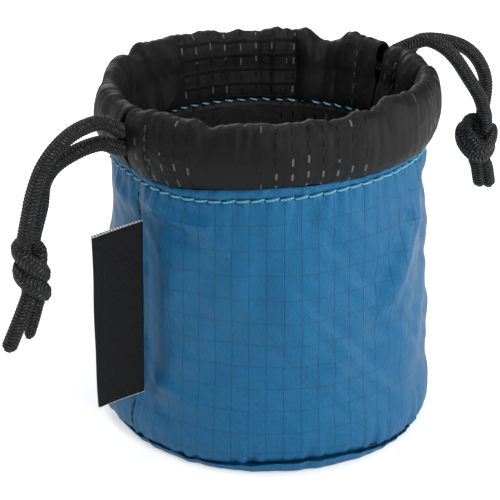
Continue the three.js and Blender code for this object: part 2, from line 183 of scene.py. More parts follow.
# Creases of the wall: from (degrees, height) to (degrees, height), how far they stand
# out and how wide they are, in millimetres. Those on the far side are of the same kind.
WALL_CREASES = [
    (183, 64.6, 212, 63.4, 1.05, 1.7), (186, 60.6, 207, 59.6, -0.98, 2.4),
    (187, 56, 187, 19, -0.95, 3.4), (184.5, 57, 184.5, 17, -1.45, 6), (196, 52, 199, 30, 0.49, 5),
    (187, 21, 207, 17.6, 0.98, 2.2), (189, 14, 203, 11.5, -0.49, 3),
    (162, 65.5, 177, 61.5, 0.84, 2), (164, 57, 178, 60, -0.7, 2.4), (297, 64, 305, 67, 0.7, 2),
    (300, 61.5, 346, 62.5, -1.12, 3.2), (268, 34.5, 293, 33, -0.56, 4),
    (272, 25, 294, 15, -0.6, 3.8), (275, 20, 289, 12, 0.45, 2.6), (312, 52, 336, 47, 0.7, 3),
    (318, 30, 342, 22, 0.77, 3), (316, 38, 316, 22, 0.9, 5), (317, 14, 315, 8, -0.9, 3.5),
    (314, 67, 318, 62, 0.8, 2.6), (150, 62, 150, 44, -1.7, 9), (152, 40, 154, 20, -1.2, 8),
    (12, 63, 34, 58, 0.84, 2.4), (18, 40, 40, 47, -0.7, 3.4), (46, 18, 72, 24, 0.7, 2.8),
    (70, 60, 92, 63, -0.84, 2.8), (88, 44, 104, 36, 0.7, 3), (112, 62, 132, 57, 0.84, 2.4),
    (126, 26, 146, 18, -0.7, 3.2), (140, 47, 160, 52, 0.7, 2.6),
    (292.3, 58, 278.5, 41.5, 2.3, 3.8), (297, 67, 294, 57, 1.3, 3),
    (286, 59, 271.5, 43, -1.1, 3.2), (314, 60, 303, 44, -0.5, 3.2), (287, 36, 286, 20, 0.9, 5),
    (262, 48.6, 276, 47.4, -0.3, 1.2), (212, 40, 254, 19, -0.8, 5.5), (208, 46, 236, 32, 0.5, 7),
    (186, 66.5, 216, 59.5, 0.7, 2), (229, 64, 231, 36, -0.6, 3.2), (242, 65, 256, 57, -0.55, 3),
    (240, 23.5, 264, 28.5, 0.6, 2.4), (219, 56, 226, 44, 0.5, 3), (236, 50, 246, 34, 0.55, 3.2),
    (198, 36, 214, 27, -0.5, 2.8), (222, 14, 244, 10, 0.5, 2.4), (264, 62, 274, 52, 0.3, 2.6),
]

# Rise of the hem's stitches and of the collar's lower edge over their mean height, in
# millimetres, by degrees round the mouth. The soft mouth stands higher on the right.
HEM_RISE = [
    (0, 2.2, 1.2), (40, 1.0, 0.4), (90, 0.6, 0.3), (140, 1.2, 0.4), (172, 2.0, 0.3),
    (180, 1.4, -0.3), (190, 0.9, -0.9), (200, 0.5, -1.1), (211, 0.7, 0), (222, 1.5, 0.5),
    (233, 2.2, 1.3), (245, 2.6, 1.7), (258, 3.4, 1.7), (272, 3.9, 1.9), (287, 4.3, 2.4),
    (305, 4.4, 2.5), (330, 3.4, 2.0), (360, 2.2, 1.2),
]

# Rise of the base seam over its mean height, in millimetres, by degrees round the foot.
SEAM_RISE = [
    (0, 0.2), (40, -0.3), (90, 0.3), (140, -0.2), (170, -0.5), (190, -0.4), (208, -0.6),
    (219, -0.4), (231, 0.6), (250, 1.0), (261, 0.6), (270, -0.2), (281, -1.1),
    (300, -0.8), (330, -0.3), (360, 0.2),
]

# Folds of the collar: (degrees round the mouth, degrees round the channel where 0 is
# outside and 90 the rim, reach in degrees, width and height in millimetres).
COLLAR_FOLDS = [
    (138, 40, 55, 7, -1.2), (208, 95, 55, 1.6, 0.9), (212.5, 60, 60, 2, -0.5),
    (189, 60, 70, 1.5, 0.45), (199, 30, 60, 2.6, 0.35), (224, 80, 40, 2.2, 0.3),
    (246, 85, 45, 1.8, 0.45), (252, 70, 45, 1.6, -0.45), (262, 85, 50, 2, 0.5),
    (269, 100, 60, 1.5, -0.6), (277, 110, 60, 2.2, 0.8), (292, 90, 50, 2.2, -0.5),
    (300, 110, 50, 2.6, 0.6), (311, 40, 60, 2, -0.4), (318, 312, 45, 8, -1.2),
    (330, 140, 70, 3.4, -1.4), (339, 150, 70, 4, 1.3), (348, 160, 60, 1.5, -0.7),
    (4, 150, 70, 1.8, -0.5), (16, 140, 80, 2.6, 1.3), (27, 150, 90, 3.2, -0.8),
    (22.5, 195, 60, 1.1, -0.7), (49, 170, 70, 2.4, 0.8), (69, 190, 60, 2.4, -0.5),
    (35.5, 155, 80, 2.6, 1.4), (41.5, 180, 80, 1.7, -1.3), (60, 100, 50, 1.6, -0.35),
    (92, 180, 70, 1.6, -0.6), (98, 160, 80, 2.4, 1), (104, 175, 80, 1.9, -1.3),
    (109.5, 130, 90, 2.2, 1.2), (115.5, 150, 100, 2.2, -1.5), (122, 120, 80, 3, 0.6),
    (130, 150, 70, 2.4, -0.9), (137, 150, 80, 2.6, 0.7), (147, 120, 90, 2.2, -0.35),
    (158, 60, 90, 2, 0.4), (168, 60, 90, 1.8, -0.35),
]


# Settings that a user may change.
def length_of(name, description, millimetres):
    """A setting that is a length."""
    return FloatProperty(
        name=name, description=description, default=millimetres * MM, precision=5, unit="LENGTH"
    )


def count_of(name, description, default, least):
    return IntProperty(name=name, description=description, default=default, min=least)


def colour_of(name, description, default):
    return FloatVectorProperty(
        name=name, description=description, default=default, subtype="COLOR", min=0, max=1
    )


class PouchWallSettings(bpy.types.PropertyGroup):
    shell_cloth: length_of("Wall cloth", "Thickness of the blue wall cloth", 0.6)
    foam: length_of("Foam", "Thickness of the wall's foam", 2.6)
    lining_cloth: length_of("Lining cloth", "Thickness of the dark lining", 0.5)
    layer_gap: length_of("Layer gap", "Space between the wall's layers", 0.3)
    seam_pinch: length_of("Side seam pinch", "How far the side seam draws the wall in", 0.5)
    pucker: length_of("Pucker", "Height of the puckers under the hem stitches", 0.3)
    hem_stitches: count_of("Hem stitches", "Stitches in the row under the hem strip", 73, 12)
    lining_stitches: count_of("Lining stitches", "Stitches in the row inside the mouth", 64, 12)
    thread: length_of("Thread", "Thickness of the sewing thread", 0.5)


class PouchCollarSettings(bpy.types.PropertyGroup):
    radius: length_of("Channel radius", "Radius of the middle of the cord channel", 39.7)
    middle: length_of("Channel middle", "Height of the middle of the cord channel", 81.6)
    half_width: length_of("Half width", "Half of the channel's width, across the rim", 3.7)
    half_height: length_of("Half height", "Half of the channel's height", 8.4)
    exit_half_gap: length_of("Exit half gap", "Half of the gap that the cords leave through", 2.5)
    gather: length_of("Gather", "Height of the gathers along the channel", 0.4)


class PouchCordSettings(bpy.types.PropertyGroup):
    diameter: length_of("Cord", "Diameter of the braided cord", 3.6)
    braid_columns: count_of("Braid columns", "Columns of chevrons round the cord", 8, 4)
    braid_pitch: length_of("Braid pitch", "Length of one chevron along the cord", 0.8)
    braid_depth: length_of("Braid depth", "Height of the chevrons", 0.2)


class PouchColourSettings(bpy.types.PropertyGroup):
    wall: colour_of("Wall", "Colour of the wall cloth", (0.0054, 0.1105, 0.2535))
    thread: colour_of("Thread", "Colour of the light sewing thread", (0.13, 0.48, 0.68))
    collar: colour_of("Collar", "Colour of the collar and lining cloth", (0.0062, 0.0062, 0.0065))
    label: colour_of("Label", "Colour of the woven label", (0.0055, 0.0055, 0.006))
    cord: colour_of("Cord", "Colour of the cord's yarn", (0.0115, 0.0114, 0.0113))


class PouchStageSettings(bpy.types.PropertyGroup):
    azimuth: FloatProperty(
        name="Azimuth",
        description="Direction of the camera round the pouch, from -Y",
        default=math.radians(-37),
        subtype="ANGLE",
    )
    elevation: FloatProperty(
        name="Elevation",
        description="Angle of the camera above the floor",
        default=math.radians(23.29),
        subtype="ANGLE",
    )
    distance: length_of("Distance", "Distance of the camera from what it looks at", 383.42)
    aim_right: length_of(
        "Aim right",
        "How far the camera's aim lies to the right of the pouch's axis",
        -4.39,
    )
    aim_height: length_of("Aim height", "Height of the point that the camera looks at", 41.92)
    lens: FloatProperty(
        name="Lens",
        description="Focal length on a 36 mm sensor",
        default=105.56,
        subtype="DISTANCE_CAMERA",
    )


# Shapes shared by the pieces.
def wall_stations():
    """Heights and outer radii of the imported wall, foot first."""
    points = np.array([v.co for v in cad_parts["outer_wall"].data.vertices])
    heights = np.round(points[:, 2], 5)
    radii = np.hypot(points[:, 0], points[:, 1])
    levels = np.unique(heights)
    return levels, np.array([radii[heights == level].max() for level in levels])


LEVELS, LEVEL_RADII = wall_stations()
MEAN_RADIUS = LEVEL_RADII.mean()


def wall_radius(angle, height):
    """Outer radius of the smooth wall, with the side seam's pinch."""
    settings = bpy.context.scene.pouch_wall
    spread = np.linspace(-3, 3, 7) * MM
    radius = sum(np.interp(height + step, LEVELS, LEVEL_RADII) for step in spread) / len(spread)
    away = (np.mod(angle, TURN) - SIDE_SEAM) / SIDE_SEAM_REACH
    return radius - settings.seam_pinch * np.exp(-away * away)


def waves(angle, counts, seed, slant=0):
    """Even waves round the pouch with fixed phases, each between -1 and 1, averaged."""
    random = np.random.default_rng(seed)
    total = 0
    for count in counts:
        phase = random.uniform(0, TURN)
        total = total + np.sin(count * angle + phase + random.uniform(-1, 1) * slant)
    return total / math.sqrt(len(counts))


def puffs(phase):
    """Round puffs between narrow valleys, from -0.6 to 0.4."""
    return np.abs(np.sin(phase)) - 0.6


def bell(distance, width):
    """A smooth bump, 1 in its middle."""
    return np.exp(-((distance / width) ** 2))


def by_degrees(angle, table, column=1):
    """A table's value at an angle round the mouth. The table holds degrees and millimetres."""
    degrees = np.degrees(np.mod(angle, TURN))
    return np.interp(degrees, [row[0] for row in table], [row[column] for row in table]) * MM


def stepped(*stops):
    """Values in even steps from stop to stop. Each stop but the last has its step count."""
    *parts, end = stops
    starts = [start for start, _ in parts] + [end]
    lines = [
        np.linspace(start, starts[i + 1], count, endpoint=i == len(parts) - 1)
        for i, (start, count) in enumerate(parts)
    ]
    return np.concatenate(lines)


def even_turns(count):
    """Angles of even steps round the pouch."""
    return np.arange(count) / count * TURN


def angle_between(a, b):
    """Signed difference of two angles in radians."""
    return np.mod(a - b + math.pi, TURN) - math.pi


def along_crease(angle, height, crease):
    """Height of one straight crease of the wall, in metres."""
    from_angle, from_height, to_angle, to_height, rise, width = crease
    start = np.array([0, from_height * MM])
    end = np.array([math.radians(to_angle - from_angle) * MEAN_RADIUS, to_height * MM])
    across = angle_between(angle, math.radians(from_angle)) * MEAN_RADIUS
    run = end - start
    length = np.linalg.norm(run)
    share = ((across - start[0]) * run[0] + (height - start[1]) * run[1]) / length**2
    held = np.clip(share, 0, 1)
    off = np.hypot(across - held * run[0], height - start[1] - held * run[1])
    taper = 0.35 + 0.65 * np.sin(math.pi * np.clip(0.15 + 0.7 * held, 0, 1))
    return rise * MM * taper * bell(off, width * MM)


def volume_of(mesh):
    """Volume of a closed mesh, negative if its faces point in."""
    mesh.calc_loop_triangles()
    points = np.zeros(len(mesh.vertices) * 3)
    mesh.vertices.foreach_get("co", points)
    corners = np.zeros(len(mesh.loop_triangles) * 3, np.int32)
    mesh.loop_triangles.foreach_get("vertices", corners)
    a, b, c = points.reshape(-1, 3)[corners.reshape(-1, 3)].transpose(1, 0, 2)
    return (a * np.cross(b, c)).sum() / 6


def put_mesh(name, points, faces, cloth, material):
    """A smooth mesh object. cloth holds a place on the cloth, in mm, for each face corner."""
    mesh = bpy.data.meshes.new(name)
    mesh.from_pydata(np.asarray(points).reshape(-1, 3).tolist(), [], faces)
    layer = mesh.uv_layers.new(name=CLOTH_UV)
    layer.data.foreach_set("uv", np.asarray(cloth, np.float32).ravel())
    mesh.polygons.foreach_set("use_smooth", [True] * len(mesh.polygons))
    mesh.update()
    if volume_of(mesh) < 0:
        mesh.flip_normals()
    made = bpy.data.objects.new(name, mesh)
    bpy.context.scene.collection.objects.link(made)
    mesh.materials.append(material)
    return made


def grid_faces(rows, columns, closed_rows, closed_columns, first=0):
    """Quads over a grid of points, and for each quad its row and column steps."""
    i, j = np.meshgrid(
        np.arange(rows if closed_rows else rows - 1),
        np.arange(columns if closed_columns else columns - 1),
        indexing="ij",
    )
    steps = np.array([(0, 0), (1, 0), (1, 1), (0, 1)])
    row = i.ravel()[:, None] + steps[:, 0]
    column = j.ravel()[:, None] + steps[:, 1]
    faces = first + (row % rows) * columns + column % columns
    return faces, row, column


def sheet_grid(points, across, along):
    """Faces and cloth places of a closed grid. across and along have one more value."""
    faces, row, column = grid_faces(*points.shape[:2], True, True)
    return faces.tolist(), np.stack([across[row], along[column]], -1)


def tube_faces(rings, sides, first=0):
    """Faces of a tube with both ends closed, and for each quad its ring and side steps."""
    quads, ring, side = grid_faces(rings, sides, False, True, first)
    last = first + (rings - 1) * sides
    ends = [list(range(first, first + sides))[::-1], list(range(last, last + sides))]
    return quads.tolist() + ends, ring, side


def ring_points(angle, radius, height):
    """Points at angles round the pouch's axis."""
    return np.stack([radius * np.cos(angle), radius * np.sin(angle), height + 0 * radius], -1)


def spokes(turn, side, up):
    """Offsets round each point of a line, from its two square directions."""
    cos, sin = np.cos(turn)[:, None], np.sin(turn)[:, None]
    return cos * side[:, None] + sin * up[:, None]


def run_along(points):
    """Length of a line of points, up to each of them."""
    steps = np.linalg.norm(np.diff(points, axis=0), axis=1)
    return np.concatenate([[0], np.cumsum(steps)])


def smooth_route(points, step):
    """Points every step along a smooth curve through a few chosen points."""
    points = np.asarray(points, float)
    padded = np.vstack([2 * points[0] - points[1], points, 2 * points[-1] - points[-2]])
    fine = []
    for i in range(len(points) - 1):
        a, b, c, d = padded[i : i + 4]
        t = np.linspace(0, 1, FINE_STEPS, endpoint=False)[:, None]
        curve = 2 * b + (c - a) * t + (2 * a - 5 * b + 4 * c - d) * t**2
        fine.append(0.5 * (curve + (3 * b - a - 3 * c + d) * t**3))
    fine = np.vstack([*fine, points[-1]])
    run = run_along(fine)
    count = max(8, int(round(run[-1] / step)))
    places = np.linspace(0, run[-1], count + 1)
    return np.stack([np.interp(places, run, fine[:, k]) for k in range(3)], -1)


def frames_along(route):
    """Two unit vectors square to the route at each of its points, with no twist."""
    forward = np.gradient(route, axis=0)
    forward /= np.linalg.norm(forward, axis=1)[:, None]
    side = np.zeros_like(route)
    start = np.cross(forward[0], (0, 0, 1))
    if np.linalg.norm(start) < 0.1:
        start = np.cross(forward[0], (1, 0, 0))
    side[0] = start / np.linalg.norm(start)
    for i in range(1, len(route)):
        turned = side[i - 1] - forward[i] * np.dot(side[i - 1], forward[i])
        side[i] = turned / np.linalg.norm(turned)
    return side, np.cross(forward, side)


def chevrons(column, along, pitch):
    """Height of a braid from 0 to 1. column counts the braid's columns round the cord."""
    within = np.mod(column, 1)
    slant = np.where(np.mod(np.floor(column), 2) == 0, within, 1 - within)
    wave = 0.5 + 0.5 * np.cos(TURN * (along / pitch - 0.85 * slant))
    return wave**0.6 * (1 - np.abs(2 * within - 1) ** 3 * 0.75)


def braided_tube(name, route, material, squeeze=None, knot_axis=None, thinner=0.0):
    """A cord along a route, its braid in the mesh. squeeze is from 0 to 1 along the route."""
    settings = bpy.context.scene.pouch_cord
    sides = settings.braid_columns * 4
    side, up = frames_along(route)
    along = run_along(route)
    turn = np.arange(sides) / sides
    braid = chevrons(turn[None, :] * settings.braid_columns, along[:, None], settings.braid_pitch)
    radius = settings.diameter / 2 + settings.braid_depth * (braid - 0.45)
    from_end = np.minimum(along, along[-1] - along) / (0.45 * settings.diameter)
    tip = np.sqrt(1 - (1 - np.clip(from_end, 0.12, 1)) ** 2)
    radius = radius * tip[:, None]
    left = (along[-1] - along) / THIN_END
    radius = radius * (1 - thinner * np.clip(1 - left, 0, 1) ** 0.6)[:, None]
    offset = spokes(turn * TURN, side, up) * radius[..., None]
    if squeeze is not None:
        offset = pressed(offset, route, squeeze, knot_axis)
    points = route[:, None] + offset
    faces, row, column = tube_faces(len(route), sides)
    cloth = np.stack([column * settings.braid_columns / sides, along[row] / MM], -1)
    end_cloth = np.zeros((2 * sides, 2))
    end_cloth[:, 0] = np.tile(turn * settings.braid_columns, 2)
    end_cloth[sides:, 1] = along[-1] / MM
    cloth = np.vstack([cloth.reshape(-1, 2), end_cloth])
    return put_mesh(name, points, faces, cloth, material)


def pressed(offset, route, squeeze, axis):
    """Cords in a tight knot are flattened against its core and widen along its axis."""
    outward = route - axis
    outward[:, 2] = 0
    outward /= np.maximum(np.linalg.norm(outward, axis=1), 0.1 * MM)[:, None]
    inward = (offset * outward[:, None]).sum(-1, keepdims=True) * outward[:, None]
    upright = np.zeros_like(offset)
    upright[..., 2] = offset[..., 2]
    amount = squeeze[:, None, None]
    return offset + amount * (0.22 * upright - 0.2 * inward)


def stitch_run(name, starts, ends, out, material, lift=0.35, stout=1.0):
    """Short stitches from starts to ends, each an arc that rises along out and dips in."""
    thread = bpy.context.scene.pouch_wall.thread
    share = np.linspace(0, 1, STITCH_RINGS)
    rise = (np.sin(math.pi * share) ** 0.5 - 0.55) * lift * 2 * thread
    thick = stout * thread / 2 * (0.35 + 0.65 * np.sin(math.pi * np.clip(share, 0.04, 0.96)) ** 0.4)
    run = ends - starts
    line = starts[:, None] + run[:, None] * share[:, None] + out[:, None] * rise[:, None]
    lengths = np.linalg.norm(run, axis=1)
    beside = np.cross(run / lengths[:, None], out)
    beside /= np.linalg.norm(beside, axis=1)[:, None]
    turn = even_turns(STITCH_SIDES)
    twist = turn + 2.2 * math.pi * share[:, None]
    ply = 1 + 0.16 * np.cos(2 * twist - 9 * share[:, None])
    offset = spokes(turn, beside, out)[:, None] * (thick[:, None] * ply)[..., None]
    points = line[:, :, None] + offset
    faces = []
    cloth = []
    for i, length in enumerate(lengths):
        tube, ring, side = tube_faces(STITCH_RINGS, STITCH_SIDES, i * STITCH_RINGS * STITCH_SIDES)
        faces += tube
        along = (i + share[ring]) * length / MM
        cloth.append(np.stack([side / STITCH_SIDES, along], -1).reshape(-1, 2))
        cloth.append(np.zeros((2 * STITCH_SIDES, 2)))
    return put_mesh(name, points, faces, np.vstack(cloth), material)


def stitch_angles(count, start, end):
    """Angles at which even stitches start and end round the pouch, and their ways out."""
    first = (np.arange(count) + start) / count * TURN
    last = (np.arange(count) + end) / count * TURN
    middle = (first + last) / 2
    return first, last, np.stack([np.cos(middle), np.sin(middle), 0 * middle], -1)


def dress(piece, slot, *nodes):
    """Ties a finished piece to the pouch and hides the nodes it stands for. The slot is not used.
    """
    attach(piece, "pouch")
    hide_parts(*nodes)


def bend(piece, body, start, end, slot, *nodes):
    """Bakes a piece's place into its mesh and hides the nodes it stands for. The body, the bend's
    start and end and the slot are not used.
    """
    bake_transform(piece)
    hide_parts(*nodes)


# Materials.
class Net:
    """Adds nodes to a tree. A value that is a socket is joined, any other one is set."""

    def __init__(self, tree):
        self.tree = tree

    def add(self, kind, inputs=None, **settings):
        node = self.tree.nodes.new(kind)
        for key, value in settings.items():
            setattr(node, key, value)
        for key, value in (inputs or {}).items():
            self.give(node.inputs[key], value)
        return node

    def give(self, socket, value):
        if isinstance(value, bpy.types.NodeSocket):
            self.tree.links.new(value, socket)
        else:
            socket.default_value = value

    def math(self, operation, *values):
        node = self.add("ShaderNodeMath", operation=operation)
        for socket, value in zip(node.inputs, values):
            self.give(socket, value)
        return node.outputs[0]

    def plus(self, a, b):
        return self.math("ADD", a, b)

    def minus(self, a, b):
        return self.math("SUBTRACT", a, b)

    def times(self, a, b):
        return self.math("MULTIPLY", a, b)

    def over(self, a, b):
        return self.math("DIVIDE", a, b)

    def times_plus(self, a, b, c):
        return self.math("MULTIPLY_ADD", a, b, c)

    def apart(self, a, b):
        return self.math("ABSOLUTE", self.minus(a, b))

    def ripple(self, turned):
        """A wave from 0 to 1."""
        return self.times_plus(self.math("SINE", turned), 0.5, 0.5)

    def split(self, place):
        return self.add("ShaderNodeSeparateXYZ", {"Vector": place}).outputs

    def stretched(self, place, shares):
        inputs = {0: place, 1: shares}
        return self.add("ShaderNodeVectorMath", inputs, operation="MULTIPLY").outputs[0]

    def tint(self, share, low, high):
        """One colour mixed over another. The node's colours come after its other sockets."""
        inputs = {0: share, 6: low, 7: high}
        return self.add("ShaderNodeMix", inputs, data_type="RGBA").outputs[2]

    def span(self, value, low, high, to_low=0.0, to_high=1.0):
        """A value's smooth step from one range to another."""
        node = self.add("ShaderNodeMapRange", interpolation_type="SMOOTHSTEP")
        for socket, given in zip(node.inputs, (value, low, high, to_low, to_high)):
            self.give(socket, given)
        return node.outputs[0]

    def noise(self, place, scale, detail=2.0, roughness=0.5):
        inputs = {"Vector": place, "Scale": scale, "Detail": detail, "Roughness": roughness}
        return self.add("ShaderNodeTexNoise", inputs).outputs["Fac"]


def effect(name, inputs, outputs):
    """An empty node group with named number or vector sockets, and its two end nodes."""
    tree = bpy.data.node_groups.new(name, "ShaderNodeTree")
    for key, value in inputs.items():
        kind = "NodeSocketVector" if isinstance(value, tuple) else "NodeSocketFloat"
        socket = tree.interface.new_socket(name=key, in_out="INPUT", socket_type=kind)
        socket.default_value = value
    for key in outputs:
        tree.interface.new_socket(name=key, in_out="OUTPUT", socket_type="NodeSocketFloat")
    net = Net(tree)
    start = net.add("NodeGroupInput")
    end = net.add("NodeGroupOutput")
    return net, start.outputs, end.inputs


def near_line(net, value, pitch, width):
    """1 on evenly spaced lines of a given width, 0 between them."""
    place = net.math("FRACT", net.plus(net.over(value, pitch), 0.5))
    away = net.times(net.apart(place, 0.5), pitch)
    return net.span(away, net.times(width, 0.5), width, 1.0, 0.0)


def ripstop_effect():
    """Thicker yarns of ripstop cloth: dotted upright lines and fainter level ones."""
    net, given, made = effect(
        "Ripstop lines",
        {
            "Place": (0.0, 0.0, 0.0),
            "Upright Pitch": 4.18,
            "Level Pitch": 5.8,
            "Width": 0.16,
            "Dot Pitch": 0.62,
        },
        ["Upright", "Level", "Dots"],
    )
    place = net.split(given["Place"])
    upright = near_line(net, place["X"], given["Upright Pitch"], given["Width"])
    level = near_line(net, place["Y"], given["Level Pitch"], given["Width"])
    dots = net.math("FRACT", net.over(place["Y"], given["Dot Pitch"]))
    dots = net.span(net.apart(dots, 0.5), 0.18, 0.36)
    net.give(made["Upright"], upright)
    net.give(made["Level"], level)
    net.give(made["Dots"], net.times(upright, dots))
    return net.tree


def weave_effect():
    """Fine cloth: twill ribs of a given pitch, crossed threads and uneven yarn."""
    net, given, made = effect(
        "Fine weave",
        {"Place": (0.0, 0.0, 0.0), "Rib Pitch": 0.42, "Thread Pitch": 0.3, "Lean": 1.0},
        ["Height", "Shade", "Uneven"],
    )
    place = net.split(given["Place"])
    leaned = net.times_plus(place["Y"], given["Lean"], place["X"])
    turned = net.times(net.over(leaned, given["Rib Pitch"]), TURN)
    rib = net.ripple(turned)
    pitch = net.over(TURN, given["Thread Pitch"])
    warp = net.math("SINE", net.times(place["X"], pitch))
    weft = net.math("SINE", net.times(place["Y"], pitch))
    cross = net.times_plus(net.times(warp, weft), 0.5, 0.5)
    uneven = net.noise(net.stretched(given["Place"], (1.5, 0.5, 1.0)), 1.7, 4.0, 0.7)
    net.give(made["Height"], net.plus(net.times(rib, 0.6), net.times(cross, 0.4)))
    net.give(made["Shade"], net.times_plus(cross, 0.6, net.times(rib, 0.4)))
    net.give(made["Uneven"], uneven)
    return net.tree


def crumple_effect():
    """Soft small creases of light cloth, and broad tone changes."""
    inputs = {"Crease Scale": 90.0, "Tone Scale": 28.0}
    net, given, made = effect("Soft crumple", inputs, ["Height", "Tone"])
    where = net.add("ShaderNodeTexCoord").outputs["Object"]
    crease = net.noise(where, given["Crease Scale"], 2.0, 0.45)
    ridge = net.span(net.apart(crease, 0.5), 0.0, 0.12, 1.0, 0.0)
    net.give(made["Height"], net.plus(crease, net.times(ridge, 0.25)))
    net.give(made["Tone"], net.noise(where, given["Tone Scale"], 3.0, 0.5))
    return net.tree


def yarn_effect():
    """Fibres of twisted or braided yarn, and a mask of painted glints: lighter flecks where the
    fibres catch light.
    """
    net, given, made = effect(
        "Yarn fibres",
        {"Place": (0.0, 0.0, 0.0), "Stretch": (1.0, 1.0, 1.0), "Scale": 6.0},
        ["Height", "Glint"],
    )
    stretched = net.stretched(given["Place"], given["Stretch"])
    spots = net.noise(stretched, net.times(given["Scale"], 0.45), 2.0, 0.6)
    net.give(made["Height"], net.noise(stretched, given["Scale"], 4.0, 0.65))
    net.give(made["Glint"], net.span(spots, 0.52, 0.68))
    return net.tree


def bar_effect():
    """Groups of dash columns, as thick yarns show in blocks of the dark cloth, and which dashes get
    a painted highlight.
    """
    net, given, made = effect(
        "Dash blocks",
        {
            "Place": (0.0, 0.0, 0.0),
            "Start": 0.0,
            "Pitch": 3.67,
            "Period": 43.0,
            "Columns": 8.0,
            "Dash Pitch": 3.9,
        },
        ["Dash", "Bright", "Rib"],
    )
    place = net.split(given["Place"])
    across = net.over(net.minus(place["X"], given["Start"]), given["Period"])
    within = net.times(net.math("FRACT", across), given["Period"])
    index = net.over(within, given["Pitch"])
    inside = net.math("LESS_THAN", index, net.minus(given["Columns"], 0.4))
    last = net.minus(net.over(given["Period"], given["Pitch"]), 0.5)
    inside = net.math("MAXIMUM", inside, net.math("GREATER_THAN", index, last))
    column = net.times(near_line(net, within, given["Pitch"], 0.3), inside)
    step = net.math("FLOOR", net.plus(index, 0.5))
    shift = net.times(net.math("FRACT", net.times(step, 0.37)), 0.25)
    along = net.plus(net.over(place["Y"], given["Dash Pitch"]), shift)
    dash = net.span(net.apart(net.math("FRACT", along), 0.5), 0.2, 0.27, 1.0, 0.0)
    cell = net.add("ShaderNodeCombineXYZ", {"X": step, "Y": net.math("FLOOR", along)}).outputs[0]
    chance = net.add("ShaderNodeTexWhiteNoise", {"Vector": cell}, noise_dimensions="2D")
    # Painted highlight: dashes are lit more often in the lowest rows and near 25 mm along the
    # section, where light falls on them.
    low = net.span(place["Y"], 7.0, 10.0, 1.0, 0.0)
    high = net.span(net.apart(place["Y"], 25.0), 3.0, 6.0, 1.0, 0.0)
    often = net.times_plus(net.math("MAXIMUM", low, high), -0.62, 0.86)
    lit = net.math("GREATER_THAN", chance.outputs["Value"], often)
    dashes = net.times(column, dash)
    rib = near_line(net, place["Y"], given["Dash Pitch"], 0.55)
    net.give(made["Dash"], dashes)
    net.give(made["Bright"], net.times(dashes, lit))
    net.give(made["Rib"], net.times(rib, inside))
    return net.tree


EFFECTS = {}
MATERIALS = {}


def group(net, maker, inputs):
    """A node group placed in a material, made the first time it is asked for."""
    name = maker.__name__
    if name not in EFFECTS:
        EFFECTS[name] = maker()
    node = net.add("ShaderNodeGroup", node_tree=EFFECTS[name])
    for key, value in inputs.items():
        net.give(node.inputs[key], value)
    return node.outputs


def material(name, paint):
    """The material of that name, painted the first time it is asked for."""
    if name in MATERIALS:
        return MATERIALS[name]
    made = bpy.data.materials.new(name)
    made.use_nodes = True
    paint(Net(made.node_tree), made.node_tree.nodes["Principled BSDF"])
    MATERIALS[name] = made
    return made


def on_cloth(net):
    """The place on the cloth, in millimetres."""
    return net.add("ShaderNodeUVMap", uv_map=CLOTH_UV).outputs[0]


def coat(net, shader, colour, rough, heights, distance):
    """Joins a colour, a roughness and one bump of weighted heights, deep in metres."""
    net.give(shader.inputs["Base Color"], colour)
    net.give(shader.inputs["Roughness"], rough)
    total = 0.0
    for height, weight in heights:
        total = net.times_plus(height, weight, total)
    bump = net.add("ShaderNodeBump", {"Height": total, "Distance": distance, "Strength": 1.0})
    net.give(shader.inputs["Normal"], bump.outputs[0])


def rgba(colour, share):
    """A colour made darker or lighter by a share."""
    return (*(min(1.0, value * share) for value in colour), 1.0)


def paint_wall(net, shader, stitched=True, lines=1.0):
    """Satin ripstop: fine twill, dotted lines, and needle holes under the hem stitches, darkened
    with painted shade.
    """
    tone = partial(rgba, bpy.context.scene.pouch_colours.wall)
    wall = bpy.context.scene.pouch_wall
    place = on_cloth(net)
    threads = {"Place": place, "Rib Pitch": 0.6, "Thread Pitch": 0.52, "Lean": 0.5}
    weave = group(net, weave_effect, threads)
    rip = group(net, ripstop_effect, {"Place": place})
    crumple = group(net, crumple_effect, {"Crease Scale": 110.0, "Tone Scale": 30.0})
    colour = net.tint(crumple["Tone"], tone(0.8), tone(1.2))
    colour = net.tint(weave["Shade"], colour, tone(1.75))
    grain = net.times(net.span(weave["Uneven"], 0.35, 0.65), 0.42)
    colour = net.tint(grain, colour, tone(0.5))
    colour = net.tint(net.times(rip["Level"], 0.34 * lines), colour, tone(0.4))
    colour = net.tint(net.times(rip["Upright"], 0.16 * lines), colour, tone(0.4))
    colour = net.tint(net.times(rip["Dots"], 0.72 * lines), colour, tone(0.12))
    if stitched:
        split = net.split(place)
        pitch = MEAN_RADIUS * TURN / wall.hem_stitches / MM
        hole = near_line(net, split["X"], pitch, 0.42)
        row = net.apart(split["Y"], HEM_STITCH / MM)
        hole = net.times(hole, net.span(row, 0.3, 0.62, 1.0, 0.0))
        # Painted shade: the needle holes are real, and their near-black colour is painted shade in
        # them.
        colour = net.tint(hole, colour, tone(0.04))
    rough = net.span(crumple["Tone"], 0.3, 0.7, 0.36, 0.46)
    rough = net.times_plus(weave["Shade"], -0.06, rough)
    shader.inputs["Specular IOR Level"].default_value = 0.42
    shader.inputs["Specular Tint"].default_value = (0.62, 0.84, 1.0, 1.0)
    shader.inputs["Sheen Weight"].default_value = 0.03
    shader.inputs["Sheen Roughness"].default_value = 0.35
    shader.inputs["Sheen Tint"].default_value = (0.55, 0.78, 1.0, 1.0)
    shader.inputs["Anisotropic"].default_value = 0.35
    heights = [
        (weave["Height"], 0.16),
        (crumple["Height"], 0.75),
        (rip["Upright"], -0.1 * lines),
        (rip["Level"], -0.1 * lines),
    ]
    coat(net, shader, colour, rough, heights, 0.35 * MM)


def paint_hem(net, shader):
    """The wall's cloth with fainter lines, as the strip is folded."""
    paint_wall(net, shader, stitched=False, lines=0.35)


def paint_base(net, shader):
    paint_wall(net, shader, stitched=False)


